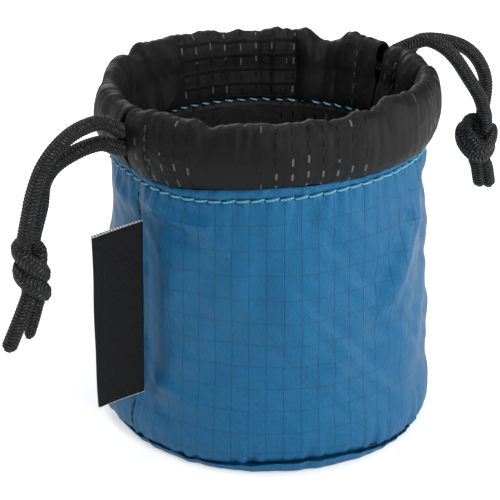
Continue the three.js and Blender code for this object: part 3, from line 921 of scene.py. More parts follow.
def paint_dark(net, shader, start, pitch, period, level=1.0, welts=1.0):
    """Dark cloth with blocks of dash columns, thin and slightly shiny. The dashes carry painted
    shade and some painted highlights.
    """
    tone = partial(rgba, bpy.context.scene.pouch_colours.collar)
    place = on_cloth(net)
    weave = group(net, weave_effect, {"Place": place, "Rib Pitch": 0.5, "Thread Pitch": 0.34})
    blocks = {"Place": place, "Start": start, "Pitch": pitch, "Period": period}
    bars = group(net, bar_effect, blocks)
    crumple = group(net, crumple_effect, {"Crease Scale": 130.0, "Tone Scale": 40.0})
    # level makes the whole cloth lighter; the back collar half uses it as painted light on its
    # inside.
    colour = net.tint(crumple["Tone"], tone(0.7 * level), tone(1.4 * level))
    colour = net.tint(net.times(weave["Height"], 0.35), colour, tone(2.4 * level))
    grain = net.times(net.span(weave["Uneven"], 0.35, 0.65), 0.6)
    colour = net.tint(grain, colour, tone(0.4 * level))
    broken = net.times(bars["Rib"], net.span(weave["Uneven"], 0.3, 0.6))
    colour = net.tint(net.times(broken, 0.2 * welts), colour, tone(0.35))
    # Painted shade: the raised thick-yarn dashes are painted nearly black, as they stand in shade.
    colour = net.tint(bars["Dash"], colour, tone(0.15))
    # Painted highlight: some dashes are painted light grey where they catch the light.
    colour = net.tint(bars["Bright"], colour, (0.15, 0.15, 0.155, 1.0))
    rough = net.span(crumple["Tone"], 0.3, 0.7, 0.46, 0.58)
    shader.inputs["Specular IOR Level"].default_value = 0.2
    shader.inputs["Sheen Weight"].default_value = 0.02
    shader.inputs["Sheen Roughness"].default_value = 0.45
    heights = [
        (weave["Height"], 0.14),
        (crumple["Height"], 1.2),
        (bars["Dash"], 0.8),
        (broken, 0.16 * welts),
    ]
    coat(net, shader, colour, rough, heights, 0.3 * MM)


def degrees_on_channel(degrees):
    """Degrees round the channel as a length on its cloth, in millimetres."""
    return math.radians(degrees) * bpy.context.scene.pouch_collar.radius / MM


def paint_front_collar(net, shader):
    start = degrees_on_channel(230.2)
    paint_dark(net, shader, start, degrees_on_channel(4.85), degrees_on_channel(56.8))


def paint_back_collar(net, shader):
    """The half whose inside is seen: clear ribs, and the same cloth painted 1.5 times lighter as
    painted light on its inside.
    """
    start = degrees_on_channel(43.9)
    # Painted light: level 1.5 makes this half lighter than the front half of the same cloth.
    paint_dark(net, shader, start, degrees_on_channel(6.7), degrees_on_channel(150), 1.5, 3.4)


def paint_lining(net, shader):
    start = degrees_on_channel(10)
    paint_dark(net, shader, start, degrees_on_channel(5.4), degrees_on_channel(70), 3.6)


def paint_cord(net, shader):
    """Braided yarn: painted shade in the grooves between the chevrons, fibres and painted glints on
    the ridges.
    """
    tone = partial(rgba, bpy.context.scene.pouch_colours.cord)
    pitch = bpy.context.scene.pouch_cord.braid_pitch / MM
    place = on_cloth(net)
    split = net.split(place)
    within = net.math("FRACT", split["X"])
    odd = net.math("FLOORED_MODULO", net.math("FLOOR", split["X"]), 2.0)
    flipped = net.minus(1.0, within)
    upward = net.times(within, net.minus(1.0, odd))
    slant = net.times_plus(flipped, odd, upward)
    run = net.minus(net.over(split["Y"], pitch), net.times(slant, 0.85))
    wave = net.times_plus(net.math("COSINE", net.times(run, TURN)), 0.5, 0.5)
    border = net.math("ABSOLUTE", net.times_plus(within, 2.0, -1.0))
    ridge = net.times(wave, net.span(border, 0.6, 1.0, 1.0, 0.25))
    cell = {"X": net.math("FLOOR", split["X"]), "Y": net.math("FLOOR", run)}
    cell = net.add("ShaderNodeCombineXYZ", cell).outputs[0]
    chance = net.add("ShaderNodeTexWhiteNoise", {"Vector": cell}, noise_dimensions="2D")
    yarn = group(net, yarn_effect, {"Place": place, "Stretch": (1.4, 4.0, 1.0), "Scale": 2.6})
    colour = net.tint(chance.outputs["Value"], tone(0.4), tone(3.0))
    # Painted highlight: grey glints on the ridges of the braid.
    glint = net.times(yarn["Glint"], net.span(ridge, 0.4, 0.9))
    colour = net.tint(glint, colour, (0.2, 0.2, 0.2, 1.0))
    # Painted shade: the grooves between the chevrons are darkened.
    colour = net.tint(net.span(ridge, 0.2, 0.75, 0.95, 0.0), colour, tone(0.08))
    rough = net.span(yarn["Height"], 0.3, 0.7, 0.4, 0.65)
    shader.inputs["Specular IOR Level"].default_value = 0.3
    shader.inputs["Sheen Weight"].default_value = 0.04
    coat(net, shader, colour, rough, [(ridge, 1.0), (yarn["Height"], 0.7)], 0.2 * MM)


def paint_thread(net, shader, colour, bright):
    """Twisted sewing thread with a soft shine."""
    place = on_cloth(net)
    yarn = group(net, yarn_effect, {"Place": place, "Stretch": (3.0, 1.2, 1.0), "Scale": 3.0})
    split = net.split(place)
    turned = net.times_plus(split["X"], 2.0, net.times(split["Y"], 1.3))
    ply = net.ripple(net.times(turned, TURN))
    shade = net.tint(ply, rgba(colour, 0.5), rgba(colour, bright))
    # Painted highlight: lighter glints on the thread.
    shade = net.tint(net.times(yarn["Glint"], 0.35), shade, rgba(colour, bright * 1.6))
    rough = net.span(yarn["Height"], 0.3, 0.7, 0.35, 0.55)
    shader.inputs["Sheen Weight"].default_value = 0.2
    coat(net, shader, shade, rough, [(ply, 1.0), (yarn["Height"], 0.6)], 0.08 * MM)


def paint_light_thread(net, shader):
    paint_thread(net, shader, bpy.context.scene.pouch_colours.thread, 1.3)


def paint_dark_thread(net, shader):
    paint_thread(net, shader, (0.008, 0.008, 0.01), 2.2)


def paint_label(net, shader):
    """Satin-woven tape: close cross ribs, a faint diagonal and a little lint."""
    tone = partial(rgba, bpy.context.scene.pouch_colours.label)
    place = on_cloth(net)
    split = net.split(place)
    threads = {"Place": place, "Rib Pitch": 0.36, "Thread Pitch": 0.24, "Lean": 0.5}
    weave = group(net, weave_effect, threads)
    crumple = group(net, crumple_effect, {"Crease Scale": 60.0, "Tone Scale": 70.0})
    rib = net.ripple(net.times(split["Y"], TURN / 0.3))
    colour = net.tint(crumple["Tone"], tone(0.7), tone(1.4))
    colour = net.tint(net.times(weave["Height"], 0.5), colour, tone(2.6))
    grain = net.times(net.span(weave["Uneven"], 0.38, 0.62), 0.8)
    colour = net.tint(grain, colour, tone(0.3))
    colour = net.tint(net.times(rib, 0.2), colour, tone(0.3))
    rough = net.span(weave["Uneven"], 0.3, 0.7, 0.42, 0.58)
    shader.inputs["Specular IOR Level"].default_value = 0.2
    shader.inputs["Sheen Weight"].default_value = 0.02
    heights = [(weave["Height"], 0.4), (rib, 0.3), (crumple["Height"], 0.8)]
    coat(net, shader, colour, rough, heights, 0.16 * MM)


def paint_cut_edge(net, shader):
    """Pale heat-cut edge of the label, with dark yarn ends in it."""
    place = on_cloth(net)
    split = net.split(place)
    yarn = group(net, yarn_effect, {"Place": place, "Stretch": (2.0, 2.0, 1.0), "Scale": 2.4})
    ends = near_line(net, net.times_plus(yarn["Height"], 0.5, split["X"]), 0.8, 0.16)
    colour = net.tint(yarn["Height"], (0.5, 0.5, 0.5, 1.0), (0.86, 0.86, 0.86, 1.0))
    colour = net.tint(net.times(ends, 0.85), colour, (0.03, 0.03, 0.035, 1.0))
    rough = net.span(yarn["Height"], 0.3, 0.7, 0.5, 0.7)
    coat(net, shader, colour, rough, [(yarn["Height"], 1.0), (ends, -0.6)], 0.12 * MM)


def paint_foam(net, shader):
    """Grey open foam, its pores darkened with painted shade."""
    where = net.add("ShaderNodeTexCoord").outputs["Object"]
    cells = net.add("ShaderNodeTexVoronoi", {"Vector": where, "Scale": 1400.0}, feature="F1")
    hole = net.span(cells.outputs["Distance"], 0.1, 0.5)
    tone = net.noise(where, 60.0, 3.0)
    # Painted shade: the pores are real, and their darker colour is painted shade in them.
    colour = net.tint(hole, (0.1, 0.1, 0.105, 1.0), (0.27, 0.275, 0.28, 1.0))
    colour = net.tint(net.times(tone, 0.4), colour, (0.16, 0.16, 0.165, 1.0))
    rough = net.span(tone, 0.3, 0.7, 0.88, 0.97)
    coat(net, shader, colour, rough, [(hole, 1.0), (tone, 1.0)], 0.2 * MM)


def paint_floor(net, shader):
    """White paper. It glows a little where it is looked at, and keeps the shadow."""
    net.give(shader.inputs["Base Color"], (0.9, 0.9, 0.9, 1.0))
    shader.inputs["Roughness"].default_value = 0.9
    shader.inputs["Specular IOR Level"].default_value = 0.1
    shader.inputs["Emission Color"].default_value = (1.0, 1.0, 1.0, 1.0)
    rays = net.add("ShaderNodeLightPath", {}).outputs
    place = net.add("ShaderNodeNewGeometry").outputs["Position"]
    away = net.add("ShaderNodeVectorMath", {0: place}, operation="LENGTH").outputs["Value"]
    glow = net.span(away, 0.12, 0.6, 0.5, 1.0)
    seen = net.times_plus(rays["Is Glossy Ray"], 0.4, rays["Is Transmission Ray"])
    seen = net.plus(rays["Is Camera Ray"], seen)
    net.give(shader.inputs["Emission Strength"], net.times(seen, glow))


# Pieces.
def hem_rise(angle, column=1):
    """How far the hem's stitches (1) or the collar's lower edge (2) stand above level."""
    return by_degrees(angle, HEM_RISE, column)


def foot_rise(angle):
    """How far the base seam rises or dips round the pouch."""
    return by_degrees(angle, SEAM_RISE)


def wall_relief(angle, height):
    """How far the wall cloth stands out from the smooth wall."""
    wall = bpy.context.scene.pouch_wall
    below = (HEM_STITCH - height) / MM
    above = (height - WALL_FOOT) / MM
    under = np.clip(below, 0, None)
    middle = bell(above - 34, 30)
    relief = 0.5 * MM * waves(angle + height * 5, (3, 5, 8), 4, 0.6) * middle
    relief = relief + 0.24 * MM * waves(angle - height * 14, (11, 15, 19), 9) * middle
    relief = relief + 0.13 * MM * waves(angle + height * 22, (27, 34, 43), 10) * middle
    flute = -np.cos(wall.hem_stitches * angle) + 0.5 * waves(angle, (51, 62), 11)
    relief = relief + wall.pucker * flute * np.exp(-under / 2.2) * (below > -0.4)
    wander = angle + 0.02 * np.sin(height * 260 + angle * 7)
    long_flute = puffs(wander * 17 + 0.9 * np.sin(angle * 5 + 1)) + 0.8 * puffs(wander * 31.5 + 2)
    long_flute = long_flute + 0.7 * waves(wander, (43, 53), 12)
    relief = relief + wall.pucker * long_flute * np.exp(-under / 7) * (1 - np.exp(-under / 1.2))
    relief = relief - 0.35 * MM * bell(below, 0.55)
    foot = waves(angle, (41, 57, 73), 21) + 0.7 * puffs(angle * 26)
    relief = relief + 0.3 * MM * foot * np.exp(-above / 4)
    sides = 0.75 + 0.35 * np.cos(2 * (angle - math.radians(330)))
    relief = relief + 1.15 * MM * sides * bell(above - 4.2, 5.2)
    relief = relief - 0.7 * MM * np.exp(-above / 0.6)
    for crease in WALL_CREASES:
        relief = relief + along_crease(angle, height, crease)
    relief = np.maximum(relief, -DEEPEST_FOLD)
    seam = angle_between(angle, SIDE_SEAM) * MEAN_RADIUS
    return relief - 0.45 * MM * bell(seam, 0.5 * MM) + 0.2 * MM * bell(seam - 1.3 * MM, 0.9 * MM)


def wall_dent(angle, height):
    """How far the folds of the wall cloth press inward, here and just beside."""
    near = [
        wall_relief(angle + aside, height + above)
        for aside in BESIDE_FOLD
        for above in ABOVE_FOLD
    ]
    return np.minimum(np.min(near, axis=0), 0)


def cloth_ring(name, angle, outer, inner, across, along, material):
    """A closed ring from an outer and an inner grid of (radius, height), foot first."""
    loop = [np.concatenate([a, b[:, ::-1]], axis=1) for a, b in zip(outer, inner)]
    points = ring_points(angle[:, None], loop[0], loop[1])
    faces, cloth = sheet_grid(points, across, along)
    return put_mesh(name, points, faces, cloth, material)


def cloth_lengths(heights_out, heights_in):
    """Places along the cloth for a ring's outer line, inner line and closing step."""
    return np.concatenate([heights_out, heights_in[::-1], heights_out[:1]]) / MM


def girth_places(angle):
    """Places round the pouch's girth, on the cloth, with the closing one."""
    return np.append(angle, TURN) * MEAN_RADIUS / MM


def build_wall():
    """The ripstop wall: folds outside, and a back that follows its deep folds."""
    wall = bpy.context.scene.pouch_wall
    angle = even_turns(wall.hem_stitches * 10)
    above_foot, below_row, near_row = WALL_FOOT + 8 * MM, HEM_STITCH - 12 * MM, HEM_STITCH - 3 * MM
    height = stepped((WALL_FOOT, 24), (above_foot, 62), (below_row, 22), (near_row, 20), WALL_TOP)
    column = angle[:, None]
    radius = wall_radius(column, height) + wall_relief(column, height)
    inside = np.linspace(WALL_FOOT, WALL_TOP, 26)
    back = wall_radius(column, inside) + wall_dent(column, inside) - wall.shell_cloth

    def lifted(level):
        """Heights that follow the base seam below and the hem above."""
        foot_reach, top_reach = 14 * MM, 26 * MM
        share = np.clip(1 - (level - WALL_FOOT) / foot_reach, 0, 1) ** 1.5
        top_share = np.clip(1 - (HEM_STITCH - level) / top_reach, 0, 1) ** 1.5
        moved = foot_rise(angle)[:, None] * share
        moved = moved - 0.45 * MM * np.exp(-(level - WALL_FOOT) / (1.2 * MM))
        return level + moved + hem_rise(angle)[:, None] * top_share

    shell = cloth_ring(
        "wall_cloth",
        angle,
        (radius, lifted(height)),
        (back, lifted(inside)),
        girth_places(angle),
        cloth_lengths(height, inside),
        material("Wall cloth", paint_wall),
    )
    dress(shell, "shell_cloth", "outer_wall")


def build_hem():
    """The folded strip under the collar, arched and puckered by its stitches."""
    wall = bpy.context.scene.pouch_wall
    angle = even_turns(wall.hem_stitches * 8)
    column = angle[:, None]
    share = np.linspace(0, 1, 15)
    reach_down = 0.55 * MM
    least_height = 1.4 * MM
    low = HEM_FOOT - reach_down + hem_rise(column)
    high = np.maximum(HEM_TOP + 0.2 * MM + hem_rise(column, 2), low + least_height)
    sway = 0.16 * MM * waves(column, (7, 12, 19), 31)
    height = low + (high - low) * share + sway * share
    bulge = 0.62 * MM * np.sin(math.pi * (0.06 + 0.88 * share)) ** 0.7 - 0.15 * MM
    radius = wall_radius(column, height) + bulge
    radius = radius - 0.1 * MM * np.cos(wall.hem_stitches * column) * (1 - share) ** 2
    radius = radius + 0.16 * MM * waves(column, (23, 37, 51), 33)
    wrinkle = waves(column + height * 14, (61, 83, 97), 34)
    wrinkle = wrinkle + waves(column - height * 22, (46, 71), 35)
    radius = radius + 0.11 * MM * wrinkle * np.sin(math.pi * share)
    inner_share = np.array([0.0, 0.5, 0.93])
    inner_height = low + (high - low) * inner_share + sway * inner_share
    inner = wall_radius(column, inner_height) - wall.shell_cloth * 0.5
    tall = HEM_TOP - HEM_FOOT
    strip = cloth_ring(
        "hem_strip",
        angle,
        (radius, height),
        (inner, inner_height),
        girth_places(angle),
        cloth_lengths(HEM_FOOT + tall * share, HEM_FOOT + tall * inner_share),
        material("Hem cloth", paint_hem),
    )
    dress(strip, "hem_cloth", "mouth_hem")


def build_hem_stitches():
    """The stitches under the hem strip, each leaning a little upward."""
    count = bpy.context.scene.pouch_wall.hem_stitches
    first, last, out = stitch_angles(count, 0.03, 0.95)
    lean = 0.2 * MM
    proud = 0.12 * MM
    uneven = 0.12 * MM * waves(first, (29, 41, 67), 36)
    low = HEM_STITCH - lean + hem_rise(first) + uneven
    high = HEM_STITCH + lean + hem_rise(last) - uneven
    starts = ring_points(first, wall_radius(first, HEM_STITCH) + proud, low)
    ends = ring_points(last, wall_radius(last, HEM_STITCH) + proud, high)
    light = material("Light thread", paint_light_thread)
    row = stitch_run("hem_stitches", starts, ends, out, light, 0.45, 1.3)
    dress(row, "blue_thread", "hem_topstitch")


def lining_depth():
    """How far the lining's outer face lies behind the wall's."""
    wall = bpy.context.scene.pouch_wall
    return wall.shell_cloth + wall.foam + 2 * wall.layer_gap


def build_foam():
    """The wall's foam. It gives way behind the deep folds of the wall."""
    wall = bpy.context.scene.pouch_wall
    turns = even_turns(240)
    angle = turns[:, None]
    height = np.linspace(PAD_FOOT, PAD_TOP, 40)
    smooth = wall_radius(angle, height) - wall.shell_cloth - wall.layer_gap
    soft = np.abs(0.12 * MM * waves(angle + height * 20, (9, 14, 22), 41))
    rounding = 0.5 * MM * (bell(height - PAD_FOOT, 1 * MM) + bell(height - PAD_TOP, 1 * MM))
    inside = smooth - wall.foam + rounding + soft
    outside = smooth + wall_dent(angle, height) - rounding - soft
    outside = np.maximum(outside, inside + THINNEST_FOAM)
    level = height + 0 * outside
    foam = cloth_ring(
        "wall_foam",
        turns,
        (outside, level),
        (inside, level),
        np.arange(len(turns) + 1) * 1.0,
        np.arange(2 * len(height) + 1) * 1.0,
        material("Foam", paint_foam),
    )
    dress(foam, "padding", "wall_padding")


def build_lining():
    """The lining with its slack folds, its top edge flared out over the foam."""
    wall = bpy.context.scene.pouch_wall
    angle = even_turns(wall.lining_stitches * 9)
    flare_foot = LINING_TOP - 0.7 * MM
    height = stepped((LINING_FOOT, 62), (LINING_STITCH - 6 * MM, 26), flare_foot)
    grid = angle[:, None] + 0 * height
    below = np.clip((LINING_STITCH - height) / MM, 0, None)
    fold = 0.5 * puffs(grid * 11.5 + 1.2 * np.sin(3 * grid + height * 40))
    fold = fold + 0.3 * waves(grid, (19, 29), 44)
    sag = 0.35 * waves(grid + height * 16, (5, 8, 13), 45)
    flute = 0.22 * puffs(grid * 32) * np.exp(-below / 3)
    fold = (fold + sag) * (1 - np.exp(-below / 5)) + flute
    inner = wall_radius(grid, height) - lining_depth() - wall.lining_cloth
    inner = inner - 0.55 * MM * (fold + 0.35) + 0.3 * MM * bell(below, 0.5)
    flare = np.linspace(0, 1, 9)[1:]
    lip_radius = inner[:, -1:] + flare**1.3 * 2.2 * MM
    lip_height = flare_foot + 0.6 * MM * np.sin(flare * math.pi / 2) + 0 * lip_radius
    seen_radius = np.concatenate([inner, lip_radius], axis=1)
    seen_height = np.concatenate([height + 0 * inner, lip_height], axis=1)
    hidden_radius = seen_radius + wall.lining_cloth
    hidden_radius[:, -len(flare) :] = lip_radius + 0.1 * MM
    hidden_height = seen_height.copy()
    hidden_height[:, -len(flare) :] -= wall.lining_cloth
    run = np.concatenate([height, height[-1] + flare * 3.4 * MM])
    lining = cloth_ring(
        "lining_cloth",
        angle,
        (hidden_radius[:, ::4], hidden_height[:, ::4]),
        (seen_radius, seen_height),
        girth_places(angle),
        cloth_lengths(run[::4], run),
        material("Lining cloth", paint_lining),
    )
    dress(lining, "lining_cloth", "wall_lining")


def build_lining_stitches():
    """The light stitches just inside the mouth, facing the axis."""
    wall = bpy.context.scene.pouch_wall
    first, last, out = stitch_angles(wall.lining_stitches, 0.1, 0.72)
    inset = lining_depth() + wall.lining_cloth + 0.25 * MM
    level = LINING_TOP - 0.5 * MM
    starts = ring_points(first, wall_radius(first, level) - inset, level - 0.2 * MM)
    ends = ring_points(last, wall_radius(last, level) - inset, level + 0.25 * MM)
    light = material("Light thread", paint_light_thread)
    row = stitch_run("lining_stitches", starts, ends, -out, light, 0.4)
    dress(row, "blue_thread", "lining_topstitch")


def disc_mesh(name, profile, angle, relief, material):
    """A closed dish from the axis out and back to the axis. relief lifts its points."""
    profile = np.asarray(profile, float)
    spread = 0 * angle[:, None]
    radius, height = relief(angle[:, None], profile[:, 0] + spread, profile[:, 1] + spread)
    points = ring_points(angle[:, None], radius, height)
    rows, columns = points.shape[:2]
    faces, row, column = grid_faces(rows, columns, True, False)
    run = run_along(profile)
    widest = int(np.argmax(profile[:, 0]))
    run = profile[0, 0] + np.where(np.arange(columns) <= widest, run, 2 * run[widest] - run)
    wrapped = np.append(angle, angle[0])
    reach = run[column] / MM
    cloth = np.stack([np.cos(wrapped[row]) * reach, np.sin(wrapped[row]) * reach], -1)
    middles = np.array([[0, 0, profile[0, 1]], [0, 0, profile[-1, 1]]])
    count = rows * columns
    faces = faces.tolist()
    end_cloth = []

    def on_disc(turns, reach):
        return [(math.cos(turn) * reach / MM, math.sin(turn) * reach / MM) for turn in turns]

    for i in range(rows):
        k = (i + 1) % rows
        faces.append([count, k * columns, i * columns])
        faces.append([count + 1, (i + 1) * columns - 1, (k + 1) * columns - 1])
        end_cloth += [(0, 0), *on_disc((angle[k], angle[i]), run[0])]
        end_cloth += [(0, 0), *on_disc((angle[i], angle[k]), run[-1])]
    cloth = np.vstack([cloth.reshape(-1, 2), end_cloth])
    return put_mesh(name, np.vstack([points.reshape(-1, 3), middles]), faces, cloth, material)


def build_base_dish():
    """The base cloth: flat below, its edge turned up to the seam, and its back."""
    cloth = bpy.context.scene.pouch_wall.shell_cloth
    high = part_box("base_panel")[1]
    edge = high.x
    rim = high.z
    flat = edge - 3.6 * MM
    bend = edge - 0.9 * MM
    bend_height = 0.7 * MM
    under = [(r, 0) for r in np.linspace(2 * MM, flat, 22)]
    share = np.linspace(0, 1, 9)[1:]
    under += [(flat + (bend - flat) * s, bend_height * s * s) for s in share]
    side = [(bend + (edge - bend) * s, bend_height + (rim - bend_height) * s) for s in share]
    top = [(edge - 0.15 * MM, rim + 0.12 * MM), (edge - cloth * 0.8, rim + 0.05 * MM)]
    back = [(bend - cloth, bend_height + cloth / 2), (flat, cloth)]
    inside = [(r, cloth) for r in np.linspace(flat, 2 * MM, 12)[1:]]

    def pucker(angle, radius, height):
        rise = np.clip((radius - flat) / (edge - flat), 0, 1)
        crease = puffs(angle * 23 + 1.1 * np.sin(angle * 4)) + 0.6 * waves(angle, (31, 47, 66), 52)
        tuck = bell(angle_between(angle, math.radians(283)), 0.16) * puffs(angle * 55)
        moved = 0.3 * MM * rise**2 * (crease + 1.4 * tuck)
        front = bell(angle_between(angle, math.radians(250)), math.radians(42))
        moved = moved + (0.15 + 1.95 * front) * MM * rise * (1.6 - rise)
        lift = 0.14 * MM * rise**2 * waves(angle, (17, 29), 53)
        lift = lift + foot_rise(angle) * np.clip(height / rim, 0, 1)
        return radius + moved, height + lift * (height > 0.3 * MM)

    profile = under + side + top + back + inside
    blue = material("Base cloth", paint_base)
    panel = disc_mesh("base_dish", profile, even_turns(480), pucker, blue)
    dress(panel, "shell_cloth", "base_panel")


def pillow(node, name, slot, cloth, puff, seed):
    """A round pad that fills a node's box, its upper side uneven. Gives its radius too."""
    bottom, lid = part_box(node)
    radius = lid.x
    half = (lid.z - bottom.z) / 2
    rounding = min(half, 0.8 * MM)
    flat = radius - rounding
    line = [(r, bottom.z) for r in np.linspace(2 * MM, flat, 14)[:-1]]
    for turn in np.linspace(-math.pi / 2, math.pi / 2, 9):
        line.append((flat + rounding * math.cos(turn), bottom.z + half + half * math.sin(turn)))
    line += [(r, lid.z) for r in np.linspace(flat, 2 * MM, 26)[1:]]

    def swell(angle, r, h):
        top_side = h > bottom.z + half
        middle = 1 - (r / radius) ** 2
        wrinkle = waves(angle + r * 30, (4, 7, 11), seed) * (r / radius) ** 2
        wrinkle = wrinkle * np.clip((radius - r) / (4 * MM), 0, 1)
        return r, h + top_side * MM * puff * (0.3 * middle + 0.5 * wrinkle)

    made = disc_mesh(name, line, even_turns(192), swell, cloth)
    dress(made, slot, node)
    return made, radius


def build_base_pads():
    """The base's foam and the lining over it."""
    foam = material("Foam", paint_foam)
    pad, _ = pillow("base_padding", "base_foam", "padding", foam, 0.3, 55)
    cloth = material("Lining cloth", paint_lining)
    lid, radius = pillow("base_lining", "base_lining_cloth", "lining_cloth", cloth, 1.0, 56)


def build_base_seam():
    """The dark stitches that join wall and base."""
    thread = bpy.context.scene.pouch_wall.thread
    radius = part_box("base_seam_thread")[1].x - thread / 2 - 1.4 * MM
    first, last, out = stitch_angles(84, 0.06, 0.94)

    def in_seam(angle):
        depth = 0.28 * MM * waves(angle, (6, 11, 17), 57)
        return ring_points(angle, radius + depth, BASE_STITCH + 0.2 * MM + foot_rise(angle))

    dark = material("Dark thread", paint_dark_thread)
    row = stitch_run("base_seam_stitches", in_seam(first), in_seam(last), out, dark, 0.2)
    dress(row, "black_thread", "base_seam_thread")


def on_side_seam(height):
    """Places in the side seam's groove."""
    angle = SIDE_SEAM + 0 * height
    radius = wall_radius(angle, height) + wall_relief(angle, height)
    return ring_points(angle, radius + 0.3 * MM, height)


def build_side_seam():
    """The dark stitches of the side seam, above and below the label."""
    dark = material("Dark thread", paint_dark_thread)
    for node, name in (
        ("side_seam_thread_upper", "side_seam_stitches_upper"),
        ("side_seam_thread_lower", "side_seam_stitches_lower"),
    ):
        low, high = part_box(node)
        count = max(2, int(round((high.z - low.z) / (2.3 * MM))))
        places = np.linspace(low.z, high.z, count + 1)
        gap = 0.2 * MM
        starts, ends = on_side_seam(places[:-1] + gap), on_side_seam(places[1:] - gap)
        row = stitch_run(name, starts, ends, np.tile((-1.0, 0.0, 0.0), (count, 1)), dark, 0.4)
        dress(row, "black_thread", node)


def channel_section(angle, turn, inset):
    """Radius and height of the cord channel at a turn round its section, smooth."""
    collar = bpy.context.scene.pouch_collar
    swing = (np.sin(5 * angle + 0.5) + np.sin(9 * angle + 1.7) + np.sin(14 * angle + 0.2)) / 3
    across = np.sign(np.cos(turn)) * np.abs(np.cos(turn)) ** 0.8
    upward = np.sin(turn)
    low = np.clip(-upward, 0, None)
    width = collar.half_width * (1 - 0.42 * low**2) - inset
    rise = by_degrees(angle, RIM_RISE)
    out = 0.35 * MM * swing * np.clip(across, 0, None)
    height = collar.middle + (collar.half_height - inset) * upward
    height = height + rise * np.clip(upward, 0, None) ** 1.5
    height = height + hem_rise(angle, 2) * low**3 * (np.cos(turn) > -0.5)
    skirt = np.clip(2 * np.cos(turn) * np.sin(turn), 0, None) ** 1.6 * (np.cos(turn) < 0)
    out = out - 2.4 * MM * skirt
    return collar.radius + width * across + out, height - 3.2 * MM * skirt


def collar_relief(angle, turn):
    """Gathers, folds and foot puckers of the channel, along its outward normal."""
    collar = bpy.context.scene.pouch_collar
    top = np.clip(np.sin(turn), 0, None)
    foot = np.clip(-np.sin(turn), 0, None)
    inner = np.clip(-np.cos(turn), 0, None)
    warp = 0.035 * waves(angle, (5, 7, 11), 61) + 0.012 * np.sin(3 * turn + 9 * angle)
    coarse = puffs((angle + warp) * 12.5 + 0.5 * np.sin(turn))
    twist = bell(angle_between(angle, math.radians(152)), math.radians(26))
    fine = puffs((angle + 1.4 * warp) * 27.5 + 0.9 + 1.6 * twist * np.sin(turn))
    tiny = waves(angle + 0.01 * np.cos(turn), (71, 89, 113), 63)
    calm = 0.18 + 0.82 * np.clip(top + 0.8 * inner, 0, 1)
    gathers = 0.75 * (1 - 0.7 * twist) * coarse + 0.55 * (1 + 0.4 * twist) * fine
    relief = collar.gather * calm * gathers
    relief = relief + 0.06 * MM * tiny * (0.5 + top)
    relief = relief + 0.2 * MM * foot**2 * puffs(angle * 36.5)
    radius = collar.radius
    for degrees, place, reach, width, rise in COLLAR_FOLDS:
        off = angle_between(angle, math.radians(degrees) + 0.02 * np.sin(turn * 1.5)) * radius
        round_off = angle_between(turn, math.radians(place))
        relief = relief + rise * MM * bell(off, width * MM) * bell(round_off, math.radians(reach))
    for side in (0, SIDE_SEAM):
        for seam in (-END_SEAM, END_SEAM):
            off = angle_between(angle, side + seam) * radius
            relief = relief - 0.3 * MM * bell(off, 0.5 * MM) * (1 - foot**4)
    return relief


def channel_point(angle, turn, inset):
    """Place of the channel's cloth, gathered, at a depth under its outer face."""
    step = 0.02
    radius, height = channel_section(angle, turn, inset)
    r0, h0 = channel_section(angle, turn - step, inset)
    r1, h1 = channel_section(angle, turn + step, inset)
    along = np.stack([r1 - r0, h1 - h0], -1)
    along /= np.linalg.norm(along, axis=-1, keepdims=True)
    relief = collar_relief(angle, turn)
    return radius + relief * along[..., 1], height - relief * along[..., 0]


COLLAR_SIDES = {
    "front": {"turn": math.pi, "body": "front_lip", "toward": -1},
    "back": {"turn": 0.0, "body": "back_lip", "toward": 1},
}
LIP_FOOT = 73.5 * MM
LIP_RIM = 90 * MM
LIP_REACH = 49 * MM
LIP_START = 88.5 * MM


def lip_bend(toward):
    """Where the lip's bend starts and ends: still at the foot and exits, whole at the rim."""
    slope = np.array([0, toward / LIP_REACH, 1 / (LIP_RIM - LIP_FOOT)])
    start = np.array([0, 0, LIP_START])
    return tuple(start), tuple(start + slope / (slope @ slope))


def exit_gap(at_left, height):
    """Half the gap between the collar halves at a cord exit: open where the cords pass."""
    mm = height / MM
    if at_left:
        open_share = bell(mm - 81.2, 4.6)
    else:
        open_share = 1 / (1 + np.exp(np.clip((81.4 - mm) * 1.4, -30, 30)))
    narrowest, opened = 0.55, 1.35
    return (narrowest + opened * open_share) * MM


def drawn_to_exit(span, turn):
    """The angles of a collar half's grid, its ends drawn closer at the foot."""
    collar = bpy.context.scene.pouch_collar
    reach = 0.24
    grid = span[:, None] + 0 * turn[None, :]
    for end, toward in ((span.min(), -1), (span.max(), 1)):
        exit_angle = end + toward * math.asin(collar.exit_half_gap / collar.radius)
        height = channel_section(end, turn, 0.0)[1]
        closer = collar.exit_half_gap - exit_gap(math.cos(exit_angle) < 0, height)
        near = np.clip(1 - np.abs(span - end) / reach, 0, 1)
        near = near * near * (3 - 2 * near)
        grid = grid + toward * near[:, None] * closer[None, :] / collar.radius
    return grid


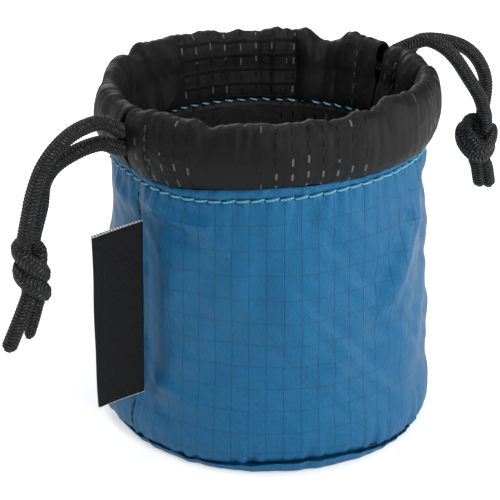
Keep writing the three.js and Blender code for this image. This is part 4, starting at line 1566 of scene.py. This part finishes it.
def build_collar():
    """The two halves of the cord channel, each a closed cloth with the exits at its ends."""
    collar = bpy.context.scene.pouch_collar
    paints = {"front": paint_front_collar, "back": paint_back_collar}
    edge = math.asin(collar.exit_half_gap / collar.radius)
    turns = 84
    turn = -math.pi / 2 + np.arange(turns) / turns * TURN
    for side, facts in COLLAR_SIDES.items():
        span = np.linspace(facts["turn"] + edge, facts["turn"] + math.pi - edge, 460)
        grid = drawn_to_exit(span, turn)
        soft = 0.25 * MM / collar.radius
        layers = (
            (grid[:1] - soft, 0.3 * MM),
            (grid, 0.0),
            (grid[-1:] + soft, 0.3 * MM),
            (grid[::3][::-1], bpy.context.scene.pouch_wall.shell_cloth),
        )
        angles = np.concatenate([layer for layer, _ in layers])
        made_of = [channel_point(layer, turn[None, :], inset) for layer, inset in layers]
        radius = np.concatenate([r for r, _ in made_of])
        height = np.concatenate([h for _, h in made_of])
        points = ring_points(angles, radius, height)
        flat = np.concatenate([span[:1] - soft, span, span[-1:] + soft, span[::3][::-1]])
        across = np.concatenate([flat, flat[:1]]) * collar.radius / MM
        ring = np.stack(channel_section(0.0, np.append(turn, turn[0]), 0.0), -1)
        along = run_along(ring) / MM
        faces, cloth = sheet_grid(points, across, along)
        dark_cloth = material(side.title() + " collar cloth", paints[side])
        made = put_mesh(side + "_collar", points, faces, cloth, dark_cloth)
        start, end = lip_bend(facts["toward"])
        names = [side + "_collar_" + place for place in ("middle", "left", "right")]
        bend(made, facts["body"], start, end, "collar_cloth", *names)
        for place, away in (("left", math.pi), ("right", 0.0)):
            build_end_stitches(side, place, away, facts)


def build_end_stitches(side, place, away, facts):
    """The stitch line by one exit edge, on the outer and the inner face."""
    node = "end_stitch_" + side + "_" + place
    low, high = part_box(node)
    angle = away + END_SEAM * (1 if (side == "back") == (place == "right") else -1)
    count = 5
    heights = np.linspace(low.z, high.z, count + 1)
    collar = bpy.context.scene.pouch_collar
    rows = []
    for face in (1, -1):
        upward = np.clip((heights - collar.middle) / collar.half_height, -0.98, 0.98)
        turn = np.arcsin(upward)
        turn = turn if face == 1 else math.pi - turn
        radius, height = channel_point(angle + 0 * turn, turn, 0.0)
        rows.append(ring_points(angle + 0 * turn, radius + face * 0.08 * MM, height))
    starts = np.concatenate([row[:-1] * 0.93 + row[1:] * 0.07 for row in rows])
    ends = np.concatenate([row[1:] * 0.9 + row[:-1] * 0.1 for row in rows])
    outward = np.array([math.cos(angle), math.sin(angle), 0])
    out = np.concatenate([np.tile(outward, (count, 1)), np.tile(-outward, (count, 1))])
    dark = material("Dark thread", paint_dark_thread)
    made = stitch_run(side + "_" + place + "_end_stitches", starts, ends, out, dark, 0.45)
    start, end = lip_bend(facts["toward"])
    bend(made, facts["body"], start, end, "black_thread", node)


def knot_route(points, middle):
    """A knot's points turned to face its front and moved to its middle."""
    cos, sin = math.cos(KNOT_TURN), math.sin(KNOT_TURN)
    placed = []
    for right, front, up in points:
        x = right * cos + front * sin
        y = right * sin - front * cos
        placed.append((middle[0] + x, middle[1] + y, middle[2] + up))
    return placed


FREE_CORDS = {
    "left_upper_cord": {
        "parts": (LEFT_UPPER_EXIT, LEFT_UPPER_STRAND, LEFT_UPPER_KNOT, LEFT_LONG_END),
        "middle": LEFT_KNOT_MIDDLE,
        "body": "left_pull",
        "nodes": ("left_strand_upper", "left_end_long", "left_knot"),
    },
    "left_lower_cord": {
        "parts": (LEFT_LOWER_EXIT, LEFT_LOWER_STRAND, LEFT_LOWER_KNOT, LEFT_SHORT_END),
        "middle": LEFT_KNOT_MIDDLE,
        "body": "left_pull",
        "nodes": ("left_strand_lower", "left_end_short"),
        "thinner": 0.3,
    },
    "right_front_cord": {
        "parts": (RIGHT_FRONT_EXIT, RIGHT_FRONT_STRAND, RIGHT_FRONT_KNOT, RIGHT_FRONT_END),
        "middle": RIGHT_KNOT_MIDDLE,
        "body": "right_pull",
        "nodes": ("right_strand_front", "right_end_front", "right_knot"),
    },
    "right_rear_cord": {
        "parts": (RIGHT_REAR_EXIT, RIGHT_REAR_STRAND, RIGHT_REAR_KNOT, RIGHT_REAR_END),
        "middle": RIGHT_KNOT_MIDDLE,
        "body": "right_pull",
        "nodes": ("right_strand_rear", "right_end_rear"),
    },
}
PULL_BENDS = {
    "left_pull": ((-0.044, 0, 0.084), (-0.062, 0, 0.066)),
    "right_pull": ((0.044, 0, 0.086), (0.0596, -0.009, 0.068)),
}


def build_free_cords():
    """The four free cords, each from its exit through its knot to its cut end."""
    for name, facts in FREE_CORDS.items():
        leaving, strand, knot, tail = facts["parts"]
        points = leaving + strand + knot_route(knot, facts["middle"]) + tail
        route = smooth_route(points, 0.2 * MM)
        axis = np.array(facts["middle"])
        off = np.abs(route[:, 2] - axis[2])
        squeeze = np.clip((KNOT_REACH - off) / KNOT_FADE, 0, 1)
        thinner = facts.get("thinner", 0.0)
        made = braided_tube(name, route, material("Cord", paint_cord), squeeze, axis, thinner)
        start, end = PULL_BENDS[facts["body"]]
        bend(made, facts["body"], start, end, "cord", *facts["nodes"])


def held_route(leaving, height, side, away, tail):
    """A cord's run through one half of the channel, from its exit to the far exit."""
    radius = bpy.context.scene.pouch_collar.radius
    middle = []
    for degrees in range(20, 180, 20):
        angle = math.radians(degrees)
        x = away * radius * math.cos(angle)
        y = side * radius * math.sin(angle)
        dip = min(0.0, by_degrees(math.atan2(y, x), RIM_RISE))
        middle.append((x, y, height + dip))
    return leaving + middle + [(x, side * y, z) for x, y, z in tail]


# Each cord in the channel starts in the exit of its free cord. Then come its height and
# the directions of its half (front -1, back 1) and of its exit (left -1, right 1).
CHANNEL_CORDS = {
    "left_loop_front": (
        LEFT_LOWER_EXIT[1::-1] + in_metres((-39.4, -3, 79.2), (-38.9, -8, 79.8)),
        (80.2 * MM, -1, -1),
    ),
    "left_loop_back": (
        LEFT_UPPER_EXIT[1::-1] + in_metres((-39.4, 3, 82.5), (-38.9, 8, 81.2)),
        (80.2 * MM, 1, -1),
    ),
    "right_loop_front": (
        RIGHT_FRONT_EXIT[1::-1] + in_metres((39.4, -2.8, 86.1), (38.7, -8, 85.6)),
        (85.5 * MM, -1, 1),
    ),
    "right_loop_back": (
        RIGHT_REAR_EXIT[1::-1] + in_metres((39.5, 3, 83.4), (38.8, 8, 84.8)),
        (85.5 * MM, 1, 1),
    ),
}
CHANNEL_TAILS = {
    -1: in_metres((38.8, 8, 79.5), (39.5, 3, 79.2), (39.6, 0.3, 79.2)),
    1: in_metres((-38.7, 8, 85.7), (-39.3, 3, 86.4), (-39.4, 0.3, 86.6)),
}


def build_channel_cords():
    """The cords inside the collar, from exit to exit."""
    for node, (leaving, (height, side, away)) in CHANNEL_CORDS.items():
        route = smooth_route(held_route(leaving, height, side, away, CHANNEL_TAILS[away]), 0.4 * MM)
        made = braided_tube(node + "_cord", route, material("Cord", paint_cord))
        facts = COLLAR_SIDES["front" if side < 0 else "back"]
        start, end = lip_bend(facts["toward"])
        bend(made, facts["body"], start, end, "cord", node)


LABEL_BEND = ((-0.0405, 0, 0.036), (-0.0465, 0, 0.036))


def label_points():
    """The label's section at each height: out, round the fold and back, with a slit inside."""
    foot, top = LABEL_LOW.z, LABEL_HIGH.z
    outer = -LABEL_LOW.x
    near = -LABEL_HIGH.x
    half = (LABEL_HIGH.y - LABEL_LOW.y) / 2
    slit = 0.1 * MM
    height = np.linspace(foot, top, 90)
    share = (height - foot) / (top - foot)
    inner = near + 2 * MM * (1 - share) - 1.2 * MM
    run = np.linspace(0, 1, 24)
    fold = np.linspace(-math.pi / 2, math.pi / 2, 9)[1:-1]
    thin = slit * (0.4 + 0.6 * run)
    bow = 0.35 * MM * np.sin(share * math.pi * 1.3 + 0.4) + 0.12 * MM * np.sin(share * 14)
    points = []
    for k, z in enumerate(height):
        wide = outer - inner[k]
        face_x = inner[k] + run * (wide - half)
        swell = half * (0.55 + 0.45 * run)
        bend_x = outer - half + half * np.cos(fold)
        out_x = np.concatenate([face_x, bend_x, face_x[::-1]])
        out_y = np.concatenate([-swell, half * np.sin(fold), swell[::-1]])
        in_x = np.concatenate([face_x, outer - half + slit * np.cos(fold), face_x[::-1]])
        in_y = np.concatenate([-thin, slit * np.sin(fold), thin[::-1]])
        x = np.concatenate([out_x, in_x[::-1]])
        y = np.concatenate([out_y, in_y[::-1]])
        reach = np.clip((x - inner[k]) / wide, 0, 1)
        root = (3.7 - 1.4 * share[k]) * MM * (1 - reach) ** 1.2
        sway = bow[k] * reach**1.5 - root
        slant = (2.6 * (1 - reach) * (1 - share[k]) + (1.2 - 1.9 * reach) * share[k]) * MM
        points.append(np.stack([-x, y + sway, z + slant], -1))
    return np.array(points), height


def build_label_strip(points, height):
    """The folded tape itself, closed at its top and foot."""
    rows, columns = points.shape[:2]
    faces, row, column = grid_faces(rows, columns, False, True)
    around = run_along(np.vstack([points[0], points[0, :1]])) / MM
    cloth = np.stack([around[column], height[row] / MM], -1).reshape(-1, 2)
    caps = []
    cap_cloth = []
    for base, at_top in ((0, False), (rows - 1, True)):
        for k in range(columns // 2 - 1):
            places = (k, k + 1, columns - 2 - k, columns - 1 - k)
            quad = [base * columns + place for place in places]
            caps.append(quad if at_top else quad[::-1])
            cap_cloth += [(around[k], height[base] / MM)] * 4
    cloth = np.vstack([cloth, cap_cloth])
    tape = material("Label tape", paint_label)
    made = put_mesh("label_strip", points, faces.tolist() + caps, cloth, tape)
    bend(made, "label", *LABEL_BEND, "label_cloth", "woven_label")


def build_label_edges(points):
    """A thin pale strand along the cut ends of the tape, top and foot."""
    outside = points.shape[1] // 2
    sides = 8
    ragged = 1 + 0.25 * np.sin(np.arange(outside) * 2.4)
    rise = np.outer(0.16 * MM * ragged, (0, 0, 1))
    places = (("label_cut_edge_top", -1, 0.08), ("label_cut_edge_foot", 0, -0.08))
    for name, row, lift in places:
        outer = points[row][:outside]
        inner = points[row][::-1][:outside]
        middle = (outer + inner) / 2 + np.array([0, 0, lift * MM])
        across = outer - inner
        wide = np.linalg.norm(across, axis=1)[:, None]
        across = across / wide * (wide / 2 * 1.05 + 0.03 * MM)
        tube = middle[:, None] + spokes(even_turns(sides), across, rise)
        faces, ring, side = tube_faces(outside, sides)
        cloth = np.stack([run_along(middle)[ring] / MM, side / sides], -1).reshape(-1, 2)
        cloth = np.vstack([cloth, np.zeros((2 * sides, 2))])
        made = put_mesh(name, tube, faces, cloth, material("Cut edge", paint_cut_edge))
        bend(made, "label", *LABEL_BEND, "label_cloth")


def view_directions():
    """The camera's directions to its right and from its aim back to it."""
    stage = bpy.context.scene.pouch_stage
    right = np.array([math.cos(stage.azimuth), math.sin(stage.azimuth), 0])
    level = math.cos(stage.elevation)
    toward = np.array([math.sin(stage.azimuth) * level, -math.cos(stage.azimuth) * level, 0])
    return right, toward + np.array([0, 0, math.sin(stage.elevation)])


def build_camera():
    """The camera, where the photo was taken from."""
    stage = bpy.context.scene.pouch_stage
    right, back = view_directions()
    aim = right * stage.aim_right + np.array([0, 0, stage.aim_height])
    data = bpy.data.cameras.new("Camera")
    data.lens = stage.lens
    data.sensor_width = SENSOR_WIDTH
    data.clip_start = 0.01
    camera = bpy.data.objects.new("Camera", data)
    camera.location = Vector(aim + back * stage.distance)
    camera.rotation_euler = Vector(back).to_track_quat("Z", "Y").to_euler()
    bpy.context.scene.collection.objects.link(camera)
    bpy.context.scene.camera = camera
    bpy.context.scene.view_settings.view_transform = "Standard"


def build_floor():
    """A wide sheet of paper, just under the base."""
    reach = 3.0
    under = -0.2 * MM
    corners = [(-reach, -reach), (reach, -reach), (reach, reach), (-reach, reach)]
    mesh = bpy.data.meshes.new("floor")
    mesh.from_pydata([(x, y, under) for x, y in corners], [], [(0, 1, 2, 3)])
    floor = bpy.data.objects.new("floor", mesh)
    bpy.context.scene.collection.objects.link(floor)
    mesh.materials.append(material("Floor", paint_floor))


def build_sky():
    """White all round: bright where the camera sees it, dim as a light."""
    world = bpy.data.worlds.new("Studio")
    world.use_nodes = True
    bpy.context.scene.world = world
    net = Net(world.node_tree)
    light = world.node_tree.nodes["Background"]
    light.inputs["Color"].default_value = (1, 1, 1, 1)
    seen = net.add("ShaderNodeLightPath").outputs["Is Camera Ray"]
    net.give(light.inputs["Strength"], net.times_plus(seen, 0.8, 0.2))


# Square lamps: how far to the camera's right, toward the camera and up they hang, their
# size in metres and their strength in watts. All face the middle of the pouch.
LAMPS = {
    "front_softbox": (0.36, 0.75, 0.62, 0.4, 4.7),
    "left_softbox": (-0.75, -0.2, 0.4, 0.3, 1.1),
    "right_softbox": (0.75, 0.15, 0.15, 0.26, 1.9),
    "top_softbox": (0.0, -0.1, 0.95, 0.5, 3.7),
    "back_softbox": (-0.2, -0.8, 0.3, 0.4, 1.4),
}
LAMP_AIM = Vector((0, 0, 0.045))


def build_lamps():
    """The square lamps, turned to the pouch."""
    right, back = view_directions()
    toward = back * (1, 1, 0)
    toward /= np.linalg.norm(toward)
    for name, (from_right, from_front, height, size, watts) in LAMPS.items():
        data = bpy.data.lights.new(name, "AREA")
        data.shape = "SQUARE"
        data.size = size
        data.energy = watts
        lamp = bpy.data.objects.new(name, data)
        bpy.context.scene.collection.objects.link(lamp)
        place = Vector(right * from_right + toward * from_front + np.array([0, 0, height]))
        lamp.location = place
        lamp.rotation_euler = (LAMP_AIM - place).to_track_quat("-Z", "Y").to_euler()


class POUCH_OT_stage(bpy.types.Operator):
    """Adds the camera, the white floor and the studio light"""

    bl_idname = "pouch.stage"
    bl_label = "Stage"

    def execute(self, context):
        build_camera()
        build_floor()
        build_sky()
        build_lamps()
        return {"FINISHED"}


class POUCH_OT_free_cords(bpy.types.Operator):
    """Adds the four free cords with their knots"""

    bl_idname = "pouch.free_cords"
    bl_label = "Free Cords"

    def execute(self, context):
        build_free_cords()
        return {"FINISHED"}


class POUCH_OT_channel_cords(bpy.types.Operator):
    """Adds the cords inside the collar's channel"""

    bl_idname = "pouch.channel_cords"
    bl_label = "Channel Cords"

    def execute(self, context):
        build_channel_cords()
        return {"FINISHED"}


class POUCH_OT_wall(bpy.types.Operator):
    """Adds the blue wall cloth"""

    bl_idname = "pouch.wall"
    bl_label = "Wall Cloth"

    def execute(self, context):
        build_wall()
        return {"FINISHED"}


class POUCH_OT_hem(bpy.types.Operator):
    """Adds the hem strip and its stitches"""

    bl_idname = "pouch.hem"
    bl_label = "Hem"

    def execute(self, context):
        build_hem()
        build_hem_stitches()
        return {"FINISHED"}


class POUCH_OT_lining(bpy.types.Operator):
    """Adds the wall's foam, its lining and the light stitches inside the mouth"""

    bl_idname = "pouch.lining"
    bl_label = "Foam and Lining"

    def execute(self, context):
        build_foam()
        build_lining()
        build_lining_stitches()
        return {"FINISHED"}


class POUCH_OT_base(bpy.types.Operator):
    """Adds the base's cloth, foam, lining and seam"""

    bl_idname = "pouch.base"
    bl_label = "Base"

    def execute(self, context):
        build_base_dish()
        build_base_pads()
        build_base_seam()
        return {"FINISHED"}


class POUCH_OT_side_seam(bpy.types.Operator):
    """Adds the side seam's stitches"""

    bl_idname = "pouch.side_seam"
    bl_label = "Side Seam"

    def execute(self, context):
        build_side_seam()
        return {"FINISHED"}


class POUCH_OT_collar(bpy.types.Operator):
    """Adds the two collar halves and the stitches at their ends"""

    bl_idname = "pouch.collar"
    bl_label = "Collar"

    def execute(self, context):
        build_collar()
        return {"FINISHED"}


class POUCH_OT_label(bpy.types.Operator):
    """Adds the folded label and its cut edges"""

    bl_idname = "pouch.label"
    bl_label = "Label"

    def execute(self, context):
        points, height = label_points()
        build_label_strip(points, height)
        build_label_edges(points)
        return {"FINISHED"}


STEPS = (
    POUCH_OT_stage,
    POUCH_OT_free_cords,
    POUCH_OT_channel_cords,
    POUCH_OT_wall,
    POUCH_OT_hem,
    POUCH_OT_lining,
    POUCH_OT_base,
    POUCH_OT_side_seam,
    POUCH_OT_collar,
    POUCH_OT_label,
)


class POUCH_PT_panel(bpy.types.Panel):
    """Lists the pouch's pieces in the order that they are made"""

    bl_idname = "POUCH_PT_panel"
    bl_label = "Lens Pouch"
    bl_space_type = "VIEW_3D"
    bl_region_type = "UI"
    bl_category = "Lens Pouch"

    def draw(self, context):
        for step in STEPS:
            self.layout.operator(step.bl_idname)
        for holder, group_type in SETTINGS.items():
            box = self.layout.box()
            for key in group_type.__annotations__:
                box.prop(getattr(context.scene, holder), key)


SETTINGS = {
    "pouch_wall": PouchWallSettings,
    "pouch_collar": PouchCollarSettings,
    "pouch_cord": PouchCordSettings,
    "pouch_colours": PouchColourSettings,
    "pouch_stage": PouchStageSettings,
}


def register():
    for group_type in SETTINGS.values():
        bpy.utils.register_class(group_type)
    for holder, group_type in SETTINGS.items():
        setattr(bpy.types.Scene, holder, PointerProperty(type=group_type))
    for step in STEPS:
        bpy.utils.register_class(step)
    bpy.utils.register_class(POUCH_PT_panel)


def unregister():
    bpy.utils.unregister_class(POUCH_PT_panel)
    for step in reversed(STEPS):
        bpy.utils.unregister_class(step)
    for holder, group_type in SETTINGS.items():
        delattr(bpy.types.Scene, holder)
        bpy.utils.unregister_class(group_type)


def main():
    register()
    bpy.ops.pouch.stage()
    bpy.ops.pouch.free_cords()
    bpy.ops.pouch.channel_cords()
    bpy.ops.pouch.wall()
    bpy.ops.pouch.hem()
    bpy.ops.pouch.lining()
    bpy.ops.pouch.base()
    bpy.ops.pouch.side_seam()
    bpy.ops.pouch.collar()
    bpy.ops.pouch.label()


if __name__ == "__main__":
    main()
